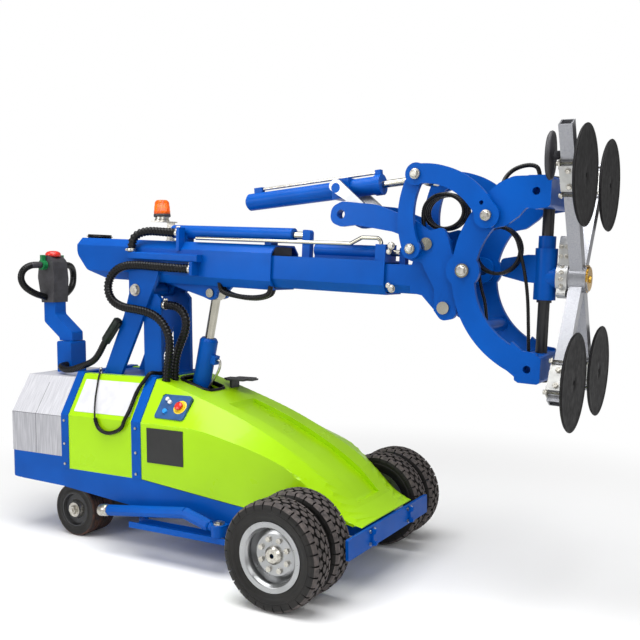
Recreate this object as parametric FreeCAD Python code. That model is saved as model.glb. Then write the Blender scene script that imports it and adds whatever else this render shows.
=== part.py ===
import FreeCAD, Part
import math, os
from FreeCAD import Vector as V

os.makedirs("parts", exist_ok=True)

# Self-propelled glazing robot: a tapering chassis on twin front wheels and a steered rear bogie,
# a luffing boom of three box stages, a tilting and swinging head, and a rolling suction frame.
# Millimetres. X runs forward from the front axle, Y to the left, Z up from the ground.

# running clearance of pins and shafts, and the play beside moving plates
fit = 0.05
play = 2.0

# front twin wheels
overallWidth = 1149.0
tyreR, tyreW, twinPitch = 206.0, 117.0, 154.0
rimR, rimWall, rimHalf = 120.0, 7.0, 46.0
rimLipR, rimLipT = 131.0, 3.5
discT, discOffset = 8.0, 6.0
hubFlangeR, hubFlangeT, hubBarrelR = 78.0, 12.0, 50.0
wheelBoltCircle, wheelBoltR, wheelBoltCount = 60.0, 6.0, 8
spindleR, spindleFlangeR, spindleFlangeT = 22.0, 60.0, 9.0
hubCapR, hubCapL, hubCapBoreR = 34.0, 26.0, 9.0

# rear bogie
bogieX, rearTyreR, rearRimR = -1318.0, 125.0, 80.0
rearTyreW, rearTyreGap, rearInnerY = 68.0, 8.0, 106.0
rearAxleR, bogieHalfW, bogieHalfL = 20.0, 92.0, 62.0
slewR, slewH, kingpinR = 98.0, 24.0, 58.0

# tub and covers
bodyHalf, shoulderHalf = 292.0, 180.0
skirtT, floorZ, floorT = 12.0, 270.0, 6.0
rearX, frontWallX = -1700.0, -236.0
rearCoverFloorZ, rearFoldZ, rearTopZ = 386.0, 576.0, 747.0
sillZ, foldZ, deckZ = 333.0, 585.0, 770.0
hoop1X, hoop1W = -1345.0, 45.0
hoop2X, hoop2W = -907.0, 52.0
hoopProud, hoopT = 4.0, 12.0
sheetT, coverT = 3.0, 4.0
sillBreakX, sillFrontZ, sillGap = -870.0, 271.0, 3.0

# frame spine, axle tube, bumper
spineHalf, spineH = 90.0, 100.0
axleTubeR, axleHalf = 45.0, 290.0
bumperFrontX, bumperT, bumperTopZ, bumperH, bumperHalf = 222.0, 12.0, 248.0, 80.0, 370.0

# mast
mastPinX, mastPinZ, mastPinR = -1016.0, 1166.0, 20.0
mastInner, mastT, mastLegT = 113.0, 18.0, 18.0

# boom
boomDip = 3.32
boomAxisW = 120.0
stage1Half, stage1Low, stage1Side, stage1Roof, stage1Wall = 110.0, 79.0, 77.0, 112.0, 8.0
stage2Half, stage2H, stage2Wall = 97.0, 134.0, 7.0
stage3Half, stage3H, stage3Wall = 84.0, 112.0, 6.0
stage1Rear, stage1Front = -405.0, 728.0
stage2Front, stage3Front = 1250.0, 1418.0
stage2Tail, stage3Tail = -120.0, 420.0
sideChamfer = 38.0

# lift cylinder
liftPinX, liftPinZ, liftBaseX, liftBaseZ = -645.0, 1151.0, -801.0, 478.0
liftBarrelR, liftRodR, liftBarrelL, liftPinR = 42.0, 21.0, 478.0, 15.0
liftBasePlay = 7.0

# head linkage pins, X and Z at rest
rockerX, rockerZ = 369.0, 1323.0
topPinX, topPinZ = 401.0, 1600.0
bowLinkX, bowLinkZ = 673.0, 1435.0
bowPivotX, bowPivotZ = 576.0, 1239.0
headPin1X, headPin1Z, headPin2X, headPin2Z = 422.0, 1341.0, 489.0, 1100.0
linkPinR, headPinR, linkPinHeadR = 12.0, 18.0, 20.0
topPinPlay, headGap = 6.3, 12.0
bracketT, bowT, linkT = 20.0, 20.0, 20.0

# tilt cylinder
tiltBarrelR, tiltRodR, tiltPivotX, tiltPivotZ = 37.0, 15.0, 20.0, 1577.0
tiltBackL, tiltFrontL, tiltEyeR = 484.0, 172.0, 34.0

# swing shaft and suction head
headX, headZ, headLean = 843.0, 1212.0, 2.9
shaftR, sleeveR, sleeveLow, sleeveHigh = 21.0, 40.0, -82.0, 105.0
collarR, collarHigh = 31.0, 44.0
cupR, cupY, cupZ, cupFace, cupLip = 170.0, 196.0, 346.0, 172.0, 16.0
armBack, armSize, armWall = 95.0, 45.0, 5.0

parts = {}
sides = (("left", 1), ("right", -1))


def keep(name, *shapes):
    shapes = [s for s in shapes if s]
    solids = [b for s in shapes for b in s.Solids]
    parts[name] = solids[0] if len(solids) == 1 else Part.makeCompound(solids)


def box(x0, x1, y0, y1, z0, z1):
    return Part.makeBox(x1 - x0, y1 - y0, z1 - z0, V(x0, y0, z0))


def yRod(x, z, r, y0, y1):
    return Part.makeCylinder(r, y1 - y0, V(x, y0, z), V(0, 1, 0))


def xRod(y, z, r, x0, x1):
    return Part.makeCylinder(r, x1 - x0, V(x0, y, z), V(1, 0, 0))


def zRod(x, y, r, z0, z1):
    return Part.makeCylinder(r, z1 - z0, V(x, y, z0))


def join(*shapes):
    out = shapes[0].fuse(list(shapes[1:])) if len(shapes) > 1 else shapes[0]
    return out.removeSplitter()


def both(shape):
    return [shape, shape.mirror(V(0, 0, 0), V(0, 1, 0))]


def onSide(shape, s):
    return both(shape)[0 if s > 0 else 1]


def outline(points, place):
    # closed outline with rounded corners: each point is (a, b) or (a, b, radius)
    n, edges, ends = len(points), [], []
    for i, p in enumerate(points):
        r = p[2] if len(p) > 2 else 0
        c = V(p[0], p[1], 0)
        before = V(*points[i - 1][:2], 0).sub(c)
        after = V(*points[(i + 1) % n][:2], 0).sub(c)
        if not r:
            ends.append((c, c, c))
            continue
        longest = 0.48 * min(before.Length, after.Length)
        before.normalize()
        after.normalize()
        half = before.getAngle(after) / 2
        run = min(r / math.tan(half), longest)
        r = run * math.tan(half)
        middle = before.add(after).normalize()
        tip = c.add(middle * (r / math.sin(half) - r))
        ends.append((c.add(before * run), tip, c.add(after * run)))
    for i, (start, tip, stop) in enumerate(ends):
        if start.distanceToPoint(stop) > 1e-6:
            edges.append(Part.Arc(place(start), place(tip), place(stop)).toShape())
        following = ends[(i + 1) % n][0]
        if stop.distanceToPoint(following) > 1e-6:
            edges.append(Part.makeLine(place(stop), place(following)))
    return Part.Wire(edges)


def plateY(points, y0, y1):
    wire = outline(points, lambda p: V(p.x, y0, p.y))
    return Part.Face(wire).extrude(V(0, y1 - y0, 0))


def band(outer, inner, y0, y1):
    # plate between two arcs, each given as centre X, centre Z, radius, first and last angle
    edges, ends = [], []
    for x, z, r, a0, a1 in (outer, inner):
        spots = [V(x + r * math.cos(math.radians(a)), y0, z + r * math.sin(math.radians(a)))
                 for a in (a0, (a0 + a1) / 2, a1)]
        edges.append(Part.Arc(*spots).toShape())
        ends.append((spots[0], spots[2]))
    edges += [Part.makeLine(ends[0][k], ends[1][k]) for k in (0, 1)]
    return Part.Face(Part.Wire(Part.__sortEdges__(edges))).extrude(V(0, y1 - y0, 0))


def plateX(points, x0, x1):
    wire = outline(points, lambda p: V(x0, p.x, p.y))
    return Part.Face(wire).extrude(V(x1 - x0, 0, 0))


def plateZ(points, z0, z1):
    wire = outline(points, lambda p: V(p.x, p.y, z0))
    return Part.Face(wire).extrude(V(0, 0, z1 - z0))


def turned(profile, x, y, z, axis=V(0, 1, 0)):
    # revolve a closed (along, radius) outline about an axis through x, y, z
    wire = outline(profile, lambda p: V(p.y, p.x, 0))
    solid = Part.Face(wire).revolve(V(0, 0, 0), V(0, 1, 0), 360)
    solid.Placement = FreeCAD.Placement(V(x, y, z), FreeCAD.Rotation(V(0, 1, 0), axis))
    return solid


def bent(points, r, bend):
    # round bar along straight runs with arcs at the corners
    edges, last = [], points[0]
    for i in range(1, len(points) - 1):
        c = points[i]
        before = points[i - 1].sub(c).normalize()
        after = points[i + 1].sub(c).normalize()
        half = before.getAngle(after) / 2
        run = bend / math.tan(half)
        tip = c.add(before.add(after).normalize() * (bend / math.sin(half) - bend))
        start, stop = c.add(before * run), c.add(after * run)
        if last.distanceToPoint(start) > 1e-6:
            edges.append(Part.makeLine(last, start))
        edges.append(Part.Arc(start, tip, stop).toShape())
        last = stop
    edges.append(Part.makeLine(last, points[-1]))
    path = Part.Wire(edges)
    ring = Part.Wire(Part.makeCircle(r, points[0], points[1].sub(points[0])))
    return path.makePipeShell([ring], True, True)


def hexHead(centre, axis, flats, height):
    r = flats / math.sqrt(3)
    ring = [V(r * math.cos(math.radians(60 * k)), r * math.sin(math.radians(60 * k)), 0) for k in range(7)]
    head = Part.Face(Part.makePolygon(ring)).extrude(V(0, 0, height))
    head.Placement = FreeCAD.Placement(centre, FreeCAD.Rotation(V(0, 0, 1), axis))
    return head


# Front wheels: one spool hub a side carries two dished rims
outerTyreY = overallWidth / 2 - tyreW / 2
innerTyreY = outerTyreY - twinPitch
outerDiscY = outerTyreY + discOffset
innerDiscY = innerTyreY - discOffset


def tyre(y):
    h, r = tyreW / 2, tyreR
    bore = rimR + fit
    return turned([(-rimHalf, bore), (rimHalf, bore), (rimHalf, bore + 14), (h, bore + 34, 12), (h, r - 26, 14),
                   (h - 12, r - 5, 5), (h - 28, r), (28 - h, r), (12 - h, r - 5, 5), (-h, r - 26, 14),
                   (-h, bore + 34, 12), (-rimHalf, bore + 14)], 0, y, tyreR)


def rim(y, discY, outward):
    lip = rimHalf + 0.3
    barrel = turned([(-lip - rimLipT, rimR - rimWall), (lip + rimLipT, rimR - rimWall), (lip + rimLipT, rimLipR),
                     (lip, rimLipR), (lip, rimR), (-lip, rimR), (-lip, rimLipR), (-lip - rimLipT, rimLipR)],
                    0, y, tyreR)
    dish = rimWall * 2
    disc = turned([(0, hubCapR), (outward * discT, hubCapR), (outward * discT, hubFlangeR),
                   (outward * (discT - dish), rimR - rimWall + 1), (-outward * dish, rimR - rimWall + 1),
                   (0, hubFlangeR)], 0, discY, tyreR)
    holes = [boltAt(k, discY - 30, discY + 30, wheelBoltR + fit) for k in range(wheelBoltCount)]
    return join(barrel, disc).cut(holes)


def boltAt(k, y0, y1, r):
    a = 2 * math.pi * (k + 0.5) / wheelBoltCount
    return yRod(wheelBoltCircle * math.sin(a), tyreR + wheelBoltCircle * math.cos(a), r, y0, y1)


def wheelBolt(k, seatY, outward):
    a = 2 * math.pi * (k + 0.5) / wheelBoltCount
    seat = V(wheelBoltCircle * math.sin(a), seatY, tyreR + wheelBoltCircle * math.cos(a))
    shank = Part.makeCylinder(wheelBoltR, discT + hubFlangeT, seat, V(0, -outward, 0))
    return join(hexHead(seat, V(0, outward, 0), 19, 9), shank)


hubSpool = turned([(innerDiscY, spindleR + fit), (outerDiscY, spindleR + fit), (outerDiscY, hubFlangeR),
                   (outerDiscY - hubFlangeT, hubFlangeR), (outerDiscY - hubFlangeT, hubBarrelR),
                   (innerDiscY + hubFlangeT, hubBarrelR), (innerDiscY + hubFlangeT, hubFlangeR),
                   (innerDiscY, hubFlangeR)], 0, 0, tyreR)
hubSpool = hubSpool.cut([boltAt(k, innerDiscY - 1, outerDiscY + 1, wheelBoltR + fit) for k in range(wheelBoltCount)])
hubCap = turned([(0, hubCapBoreR), (hubCapL, hubCapBoreR), (hubCapL, hubCapR - 8), (hubCapL - 8, hubCapR - fit),
                 (0, hubCapR - fit)], 0, outerDiscY, tyreR)
for side, s in sides:
    keep("front_tyres_" + side, *[onSide(tyre(y), s) for y in (outerTyreY, innerTyreY)])
    keep("front_rims_" + side, onSide(rim(outerTyreY, outerDiscY, 1), s), onSide(rim(innerTyreY, innerDiscY, -1), s))
    bolts = [wheelBolt(n, outerDiscY + discT, 1) for n in range(wheelBoltCount)]
    bolts += [wheelBolt(n, innerDiscY - discT, -1) for n in range(wheelBoltCount)]
    keep("front_hub_" + side, *[onSide(b, s) for b in [hubSpool, hubCap] + bolts])
spindle = join(yRod(0, tyreR, spindleFlangeR, axleHalf, axleHalf + spindleFlangeT),
               yRod(0, tyreR, spindleR, axleHalf, outerDiscY - 1))

# Rear bogie: a slewing axle box under the tub with twin solid tyres on each end
slewTop = floorZ
slewLow = slewTop - slewH
axleBoxTop = slewLow - 18
rearOuterY = rearInnerY + 2 * rearTyreW + rearTyreGap
axleBox = plateX([(-bogieHalfW, 78, 14), (bogieHalfW, 78, 14), (bogieHalfW, axleBoxTop), (-bogieHalfW, axleBoxTop)],
                 bogieX - bogieHalfL, bogieX + bogieHalfL)
axleBox = axleBox.cut(yRod(bogieX, rearTyreR, rearAxleR + fit, -bogieHalfW - 1, bogieHalfW + 1))
bogie = join(axleBox, zRod(bogieX, 0, slewR, axleBoxTop, slewLow),
             zRod(bogieX, 0, kingpinR, slewLow, floorZ + floorT + 0.2))
kingpinTop = floorZ + floorT + 0.2
kingpinNut = zRod(bogieX, 0, kingpinR + 20, kingpinTop, kingpinTop + 16)
keep("rear_bogie", bogie, kingpinNut)
slewRing = zRod(bogieX, 0, slewR, slewLow + fit, slewTop).cut(zRod(bogieX, 0, kingpinR + fit, slewLow, slewTop))
axleEnd = rearOuterY + 4
nutAt = V(bogieX, axleEnd, rearTyreR)
rearNut = join(yRod(bogieX, rearTyreR, 34, rearOuterY + 1, axleEnd), hexHead(nutAt, V(0, 1, 0), 36, 14),
               yRod(bogieX, rearTyreR, 10, axleEnd, axleEnd + 20))
keep("rear_axle", join(yRod(bogieX, rearTyreR, rearAxleR, -axleEnd, axleEnd), *both(rearNut)))
rearHub = turned([(rearInnerY, rearAxleR + fit), (rearOuterY, rearAxleR + fit), (rearOuterY, 40), (rearOuterY - 14, 46),
                  (rearOuterY - 14, rearRimR - 12), (rearOuterY, rearRimR - 6), (rearOuterY, rearRimR),
                  (rearInnerY, rearRimR)], bogieX, 0, rearTyreR)
rearTyre = turned([(0, rearRimR + fit), (rearTyreW, rearRimR + fit), (rearTyreW, rearTyreR, 9), (0, rearTyreR, 9)],
                  bogieX, 0, rearTyreR)
keep("rear_hubs", *both(rearHub))
rearRings = [rearTyre.translated(V(0, y, 0)) for y in (rearInnerY, rearInnerY + rearTyreW + rearTyreGap)]
keep("rear_tyres", *[b for r in rearRings for b in both(r)])

# Tub: floor, skirts whose lower edge falls towards the front, and end walls
sillSlope = (sillFrontZ - sillZ) / (frontWallX - sillBreakX)


def sill(x):
    return sillZ + max(0, x - sillBreakX) * sillSlope


skirt = plateY([(rearX, rearCoverFloorZ, 8), (rearX, 300, 40), (rearX + 60, 254, 60), (hoop1X, 246), (-926, 209),
                (-365, 188), (frontWallX, 183), (frontWallX, sill(frontWallX)), (sillBreakX, sillZ), (hoop1X, sillZ),
                (hoop1X, rearCoverFloorZ)], bodyHalf - skirtT, bodyHalf)
floor = box(rearX + 8, frontWallX, skirtT - bodyHalf, bodyHalf - skirtT, floorZ, floorZ + floorT)
floor = floor.cut(zRod(bogieX, 0, kingpinR + 6, floorZ - 1, floorZ + floorT + 1))
skirt = skirt.cut(box(rearX - 1, rearX + 60, 0, bodyHalf + 1, 0, 500))
tailBody = plateZ([(rearX, -bodyHalf, 60), (rearX + 62, -bodyHalf), (rearX + 62, bodyHalf), (rearX, bodyHalf, 60)],
                  240, rearCoverFloorZ)
tailCore = plateZ([(rearX + skirtT, skirtT - bodyHalf, 48), (rearX + 62, skirtT - bodyHalf),
                   (rearX + 62, bodyHalf - skirtT), (rearX + skirtT, bodyHalf - skirtT, 48)], 200, rearCoverFloorZ + 1)
tailSide = plateY([(rearX + 60, 254), (rearX + 60, rearCoverFloorZ), (rearX, rearCoverFloorZ), (rearX, 310, 40),
                   (rearX + 14, 258, 20)], -bodyHalf, bodyHalf)
tail = tailBody.cut(tailCore).common(tailSide)
frontWall = box(frontWallX - 8, frontWallX, skirtT - bodyHalf, bodyHalf - skirtT, 184, floorZ)

# Outriggers folded along the flanks, on rails welded below the skirts
legY, legPivotX, legR, legPinR = 345.0, -391.0, 17.0, 14.0
railLowZ, railTopZ, railT = 140.0, 164.0, 6.0
legZ, legBendX, legBendZ, legTipX, legRise = 186.0, -567.0, 236.0, -1030.0, 27.0
leg = bent([V(legTipX, legY, legZ), V(legBendX, legY, legBendZ), V(legPivotX, legY, legZ)], legR, 60)
leg = join(zRod(legPivotX, legY, 34, railTopZ + play, legZ + legRise), leg, Part.makeSphere(24, V(legTipX, legY, legZ)))
leg = leg.cut(zRod(legPivotX, legY, legPinR + fit, 100, 300))
rail = box(-860, -340, bodyHalf + 8, legY + 27, railLowZ, railTopZ)
rail = rail.cut(box(-861, -339, bodyHalf + 8 + railT, legY + 27 - railT, railLowZ + railT, railTopZ + 1))
webs = [box(x, x + 12, bodyHalf - skirtT, bodyHalf + 8 + railT, railLowZ + railT, 205) for x in (-840, -380)]
legPin = join(zRod(legPivotX, legY, legPinR, railLowZ + railT, legZ + 40),
              zRod(legPivotX, legY, legPinR + 10, legZ + legRise, legZ + legRise + 8),
              zRod(legPivotX, legY, legPinR + 6, railLowZ + railT, railTopZ + play))
for side, s in sides:
    keep("outrigger_" + side, onSide(leg, s))
tub = join(*both(skirt), floor, tail, frontWall, slewRing, *both(join(rail, *webs)))
keep("chassis_tub", tub)

# Frame spine on the floor, dropping to the axle tube and the bumper
spineTop = floorZ + floorT + spineH
bumperBack = bumperFrontX - bumperT
spine = plateY([(-1180, floorZ + floorT), (frontWallX + 14, floorZ + floorT), (-150, bumperTopZ - bumperH, 30),
                (bumperBack, bumperTopZ - bumperH), (bumperBack, bumperTopZ - 6), (bumperBack - 34, bumperTopZ - 6),
                (75, 262, 40), (-120, spineTop, 60), (-1180, spineTop)], -spineHalf, spineHalf)
spineCore = box(-1181, -200, 10 - spineHalf, spineHalf - 10, floorZ + floorT + 10, spineTop - 10)
spine = spine.cut(spineCore)
liftLug = plateY([(liftBaseX - 70, spineTop), (liftBaseX + 70, spineTop), (liftBaseX + 32, liftBaseZ + 20, 20),
                  (liftBaseX - 32, liftBaseZ + 20, 20)], 30, 46)
liftLug = liftLug.cut(yRod(liftBaseX, liftBaseZ, liftPinR + fit, 29, 47))
frame = join(spine, yRod(0, tyreR, axleTubeR, -axleHalf, axleHalf), *both(spindle), *both(liftLug))
keep("main_frame", frame)
liftBasePin = join(yRod(liftBaseX, liftBaseZ, liftPinR, -46, 46), *both(yRod(liftBaseX, liftBaseZ, liftPinR + 6, 46, 52)))

# Bumper bar with two notched towing lugs
bar = plateX([(-bumperHalf, bumperTopZ - bumperH, 6), (bumperHalf, bumperTopZ - bumperH, 6),
              (bumperHalf, bumperTopZ, 6), (-bumperHalf, bumperTopZ, 6)], bumperBack, bumperFrontX)
lugTop, lugLow = bumperTopZ - 8, bumperTopZ - bumperH + 8
lug = plateY([(bumperFrontX, lugTop), (bumperFrontX + 22, lugTop, 8), (bumperFrontX + 22, lugTop - 15, 3),
              (bumperFrontX + 10, lugTop - 21, 3), (bumperFrontX + 10, lugLow + 20, 3), (bumperFrontX + 22, lugLow + 14, 3),
              (bumperFrontX + 22, lugLow, 6), (bumperFrontX, lugLow)], 170, 182)
keep("front_bumper", join(bar, *both(lug)))
lugBolt = [hexHead(V(bumperFrontX, y, z), V(1, 0, 0), 13, 6) for y in (158, 194) for z in (lugTop - 7, lugLow + 8)]

# Covers: silver tail, hoops, green middle and moulded hood


def section(half, shoulder, low, fold, top):
    return [(-half, low), (half, low), (half, fold), (shoulder, top), (-shoulder, top), (-half, fold)]


def shellX(x0, x1, low, fold, top, t, proud=0):
    # constant section cover, open below
    slant = t * 1.3
    outer = plateX(section(bodyHalf + proud, shoulderHalf + proud / 2, low, fold + proud / 2, top + proud), x0, x1)
    inner = plateX(section(bodyHalf + proud - t, shoulderHalf + proud / 2 - slant + t * 0.5, low - 1,
                           fold + proud / 2 - t * 0.4, top + proud - t), x0, x1)
    return outer.cut(inner)


tailEnd = rearX + 14
rearCover = shellX(tailEnd, hoop1X, rearCoverFloorZ, rearFoldZ, rearTopZ, sheetT)
rearPlate = plateX(section(bodyHalf, shoulderHalf, rearCoverFloorZ, rearFoldZ, rearTopZ), tailEnd, tailEnd + sheetT)
tillerX, socketHalf, columnHalf, postR = -1580.0, 50.0, 40.0, 30.0
columnSlot = columnHalf + 0.5
columnCut = box(tillerX - columnSlot, tillerX + columnSlot, -columnSlot, columnSlot, rearTopZ - 40, rearTopZ + 40)
keep("rear_cover", join(rearCover, rearPlate).cut(columnCut))
hoopShapes = [shellX(x, x + w, sillZ, foldZ, deckZ + 2, hoopT, hoopProud) for x, w in
              ((hoop1X, hoop1W), (hoop2X, hoop2W))]
midX0, midX1 = hoop1X + hoop1W, hoop2X
midCover = shellX(midX0, midX1, sillZ, foldZ, deckZ, coverT)
deckHalf = shoulderHalf - 12
midCover = midCover.cut(box(midX0, midX1, -deckHalf + 24, deckHalf - 24, deckZ - 20, deckZ + 20))
keep("middle_cover", midCover)
deckPlate = box(midX0 - 20, midX1 + 20, -deckHalf, deckHalf, deckZ - coverT - 6, deckZ - coverT)
legSlots = [box(x0, x1, y0, y1, deckZ - 40, deckZ + 40) for x0, x1 in ((-1232, -1112), (-991, -878))
            for y0, y1 in ((-134, -92), (92, 134))]
keep("hoop_frame", join(deckPlate, *hoopShapes).cut(legSlots))

# Hood: sections lofted from the second hoop down to the bumper, with a sunk channel along the top
hoodX0 = hoop2X + hoop2W
hoodNose = bumperFrontX - bumperT - 3
hoodStations = [
    # X, half width, lower edge, crease, ridge half width, ridge height, step down of the room below the groove
    (hoodX0, bodyHalf, sill(hoodX0), foldZ, shoulderHalf, deckZ - 4, 8),
    (-600, bodyHalf, sill(-600), 583, 180, 692, 20),
    (-350, 290, sill(-350), 540, 182, 607, 37),
    (-120, 284, 262, 470, 186, 498, 37),
    (30, 264, 258, 362, 194, 402, 37),
    (130, 246, 254, 284, 202, 304, 37),
    (hoodNose, 232, 251, 254, 208, 258, 37),
]
grooveHalf, hoodT, hoodSteps = 96.0, 6.0, 30


def eased(rows, x):
    # values at x on smooth curves through the rows, which start with their X and are never overshot
    k = max([0] + [i for i in range(1, len(rows) - 1) if rows[i][0] <= x])
    span = rows[k + 1][0] - rows[k][0]
    t = (x - rows[k][0]) / span
    values = []
    for c in range(1, len(rows[0])):
        rise = [(b[c] - a[c]) / (b[0] - a[0]) for a, b in zip(rows, rows[1:])]
        rise = [rise[0]] + rise + [rise[-1]]
        lean = [2 * a * b / (a + b) * span if a * b > 0 else 0 for a, b in zip(rise[k:k + 2], rise[k + 1:k + 3])]
        values.append(rows[k][c] * (2 * t ** 3 - 3 * t ** 2 + 1) + lean[0] * (t ** 3 - 2 * t ** 2 + t) +
                      rows[k + 1][c] * (3 * t ** 2 - 2 * t ** 3) + lean[1] * (t ** 3 - t ** 2))
    return values


def hoodLoft(ringAt, steps, past):
    # the first section moved back by past, so that a room opens at the rear
    wires = []
    for k in range(steps + 1):
        x = hoodX0 + (hoodNose - hoodX0) * k / hoodSteps
        ring = ringAt(*eased(hoodStations, x))
        x -= past if k == 0 else 0
        wires.append(Part.makePolygon([V(x, y, z) for y, z in ring + ring[:1]]))
    return Part.makeLoft(wires, True, True)


def skinRing(half, low, crease, ridge, top, dip):
    return section(half, ridge, low + sillGap, crease, top)


def roomRing(half, low, crease, ridge, top, dip):
    # room inside, stepped down below the groove so that its floor keeps the wall
    side = [(half - hoodT, low - 40), (half - hoodT, crease - 0.4 * hoodT), (ridge - hoodT, top - hoodT),
            (grooveHalf + hoodT + 2, top - hoodT), (grooveHalf + hoodT, top - hoodT - dip)]
    return side + [(-y, z) for y, z in reversed(side)]


groove = plateY([(-560, 1000), (-526, 680), (-506, 642, 30), (-321, 574, 200), (-114, 474, 200), (35, 372, 150),
                 (112, 300, 30), (150, 340), (200, 1000)], -grooveHalf, grooveHalf)
hood = hoodLoft(skinRing, hoodSteps, 0).cut(hoodLoft(roomRing, hoodSteps - 1, 2)).cut(groove)
hoodHole = plateZ([(-822, -62, 30), (-650, -62, 30), (-650, 62, 30), (-822, 62, 30)], 560, 820)
hood = hood.cut(hoodHole)

# control plate in the near slanted face, name plate on the flank below it
panelY, panelZ = -236.0, 655.0
panelTilt = 51.3
panelX0, panelX1, panelH, panelT = -792.0, -632.0, 120.0, 6.0
estopX = -672.0


def onPanel(shape):
    # build flat in X and Y with Z outwards, then lean against the near shoulder
    shape.Placement = FreeCAD.Placement(V(0, panelY, panelZ), FreeCAD.Rotation(V(1, 0, 0), panelTilt))
    return shape


panelRing = [(panelX0, -panelH / 2, 14), (panelX1, -panelH / 2, 14), (panelX1, panelH / 2, 14),
             (panelX0, panelH / 2, 14)]
estopR, estopHeadR, estopTravel = 26.0, 19.0, 4.0
panel = plateZ(panelRing, -panelT, panelT)
estopBore = zRod(estopX, 0, 9 + fit, -30, 30)
knobAt = [(-756, 34, 9), (-736, 20, 9), (-742, -26, 11)]
keep("control_panel", onPanel(panel.cut(estopBore)))
hood = hood.cut(onPanel(plateZ(panelRing, -60, 60)))
estopRing = onPanel(zRod(estopX, 0, estopR, panelT, panelT + 5).cut(zRod(estopX, 0, 9 + fit, 0, 20)))
mushroom = turned([(-14, 0), (-14, 9), (panelT + 5 + estopTravel + 0.5, 9), (panelT + 5 + estopTravel + 0.5, estopHeadR),
                   (panelT + 18, estopHeadR, 3), (panelT + 22, 10), (panelT + 22, 0)], estopX, 0, 0, V(0, 0, 1))
mushroomUp = mushroom.copy()
mushroomUp.Placement = onPanel(Part.makeBox(1, 1, 1)).Placement.multiply(mushroom.Placement)
keep("estop_button", mushroomUp)
namePlate = box(-803, -660, -bodyHalf - 1.5, -bodyHalf + 4, 414, 566)
hood = hood.cut(namePlate)
labelSlant = math.degrees(math.atan2(deckZ - foldZ, bodyHalf - shoulderHalf))
labelAt = V(0, -bodyHalf, foldZ)
label = plateZ([(midX0 + 26, 22, 4), (midX1 - 22, 22, 4), (midX1 - 22, 186, 4), (midX0 + 26, 186, 4)], 0, 1.5)
label.Placement = FreeCAD.Placement(labelAt, FreeCAD.Rotation(V(1, 0, 0), labelSlant))
keep("panel_fittings", estopRing, *[onPanel(zRod(x, y, r, panelT, panelT + 9)) for x, y, r in knobAt], namePlate, label)
strapBolts = []
for x in (hoop1X + hoop1W / 2, hoop2X + hoop2W / 2):
    for z in (sillZ + 22, 450, foldZ - 26):
        strapBolts += both(hexHead(V(x, bodyHalf + hoopProud, z), V(0, 1, 0), 11, 5))

# Mast: two plates with a raked rear leg, and a front leg between them
mastPlate = plateY([(-1056, 1268), (-877, 1268), (-880, 1235), (-948, 1100, 60), (-1003, 985), (-1117, 768, 20),
                    (-1117, floorZ + floorT), (-1227, floorZ + floorT), (-1227, 768, 40), (-1090, 1050, 80),
                    (-1056, 1150)], mastInner, mastInner + mastT)
frontLegX = -883.0
frontLeg = plateY([(-986, floorZ + floorT), (frontLegX, floorZ + floorT), (frontLegX, 1124, 6), (-905, 1148, 12),
                   (-940, 1148, 12), (-968, 1112, 20), (-986, 1080)], mastInner - mastLegT, mastInner)
ties = [yRod(x, z, 24, -mastInner, mastInner) for x, z in ((-1172, 690), (-935, 690), (-1172, 430))]
mast = join(*both(mastPlate), *both(frontLeg), *ties)
mastEar = mastInner + mastT
mast = mast.cut(yRod(mastPinX, mastPinZ, mastPinR + fit, -mastEar - 1, mastEar + 1))
keep("mast", mast)
mastNut = hexHead(V(mastPinX, mastEar + 4, mastPinZ), V(0, 1, 0), 40, 12)
mastWasher = yRod(mastPinX, mastPinZ, 28, mastEar, mastEar + 4)
mastPin = join(yRod(mastPinX, mastPinZ, mastPinR, -mastEar, mastEar), *both(join(mastNut, mastWasher)))
keep("pins_and_bolts", mastPin, liftBasePin, *both(legPin), *[b for h in lugBolt for b in both(h)], *strapBolts)

# Boom stages, drawn level at the mast pin and then dipped


def dipped(shape):
    turn = FreeCAD.Placement(V(mastPinX, 0, mastPinZ), FreeCAD.Rotation(V(0, 1, 0), boomDip))
    shape.Placement = turn.multiply(shape.Placement)
    return shape


def level(x, z):
    a = math.radians(boomDip)
    dx, dz = x - mastPinX, z - mastPinZ
    return dx * math.cos(a) - dz * math.sin(a), dx * math.sin(a) + dz * math.cos(a)


def stageRing(half, low, high, chamfer, roof=None):
    c = boomAxisW
    if roof is None:
        return [(-half, c - low + chamfer), (-half + chamfer * 0.75, c - low), (half - chamfer * 0.75, c - low),
                (half, c - low + chamfer), (half, c + high), (-half, c + high)]
    inset = roof - high
    return [(-half, c - low + chamfer), (-half + chamfer * 0.75, c - low), (half - chamfer * 0.75, c - low),
            (half, c - low + chamfer), (half, c + high), (half - inset, c + roof), (inset - half, c + roof),
            (-half, c + high)]


stage1 = plateX(stageRing(stage1Half, stage1Low, stage1Side, sideChamfer, stage1Roof), stage1Rear, stage1Front)
hollow1 = stageRing(stage1Half - stage1Wall, stage1Low - stage1Wall, stage1Side - 3, sideChamfer,
                    stage1Roof - stage1Wall)
stage1 = stage1.cut(plateX(hollow1, stage1Rear + 90, stage1Front + 1))
low1 = boomAxisW - stage1Low
stage1 = stage1.cut(plateY([(stage1Rear - 1, low1 - 1), (-190, low1 - 1), (-230, low1 + 2, 60),
                            (stage1Rear + 72, low1 + 38, 60), (stage1Rear + 4, low1 + 112, 60), (stage1Rear - 1, 300)],
                           -stage1Half - 1, stage1Half + 1))
bossR = mastPinR + 15
lugPlate = plateY([(-70, low1), (-34, -20, 30), (34, -20, 30), (80, low1)], 56, 80)
boss = yRod(0, 0, bossR, play - mastInner, mastInner - play)
liftU, liftW = level(liftPinX, liftPinZ)
liftEar = plateY([(95, low1), (150, low1 - 12, 30), (liftU - 38, liftW - 20, 20), (liftU, liftW - 32, 20),
                  (liftU + 32, liftW - 22, 20), (liftU + 36, liftW + 10, 20), (liftU + 60, low1)], 32, 50)
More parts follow.
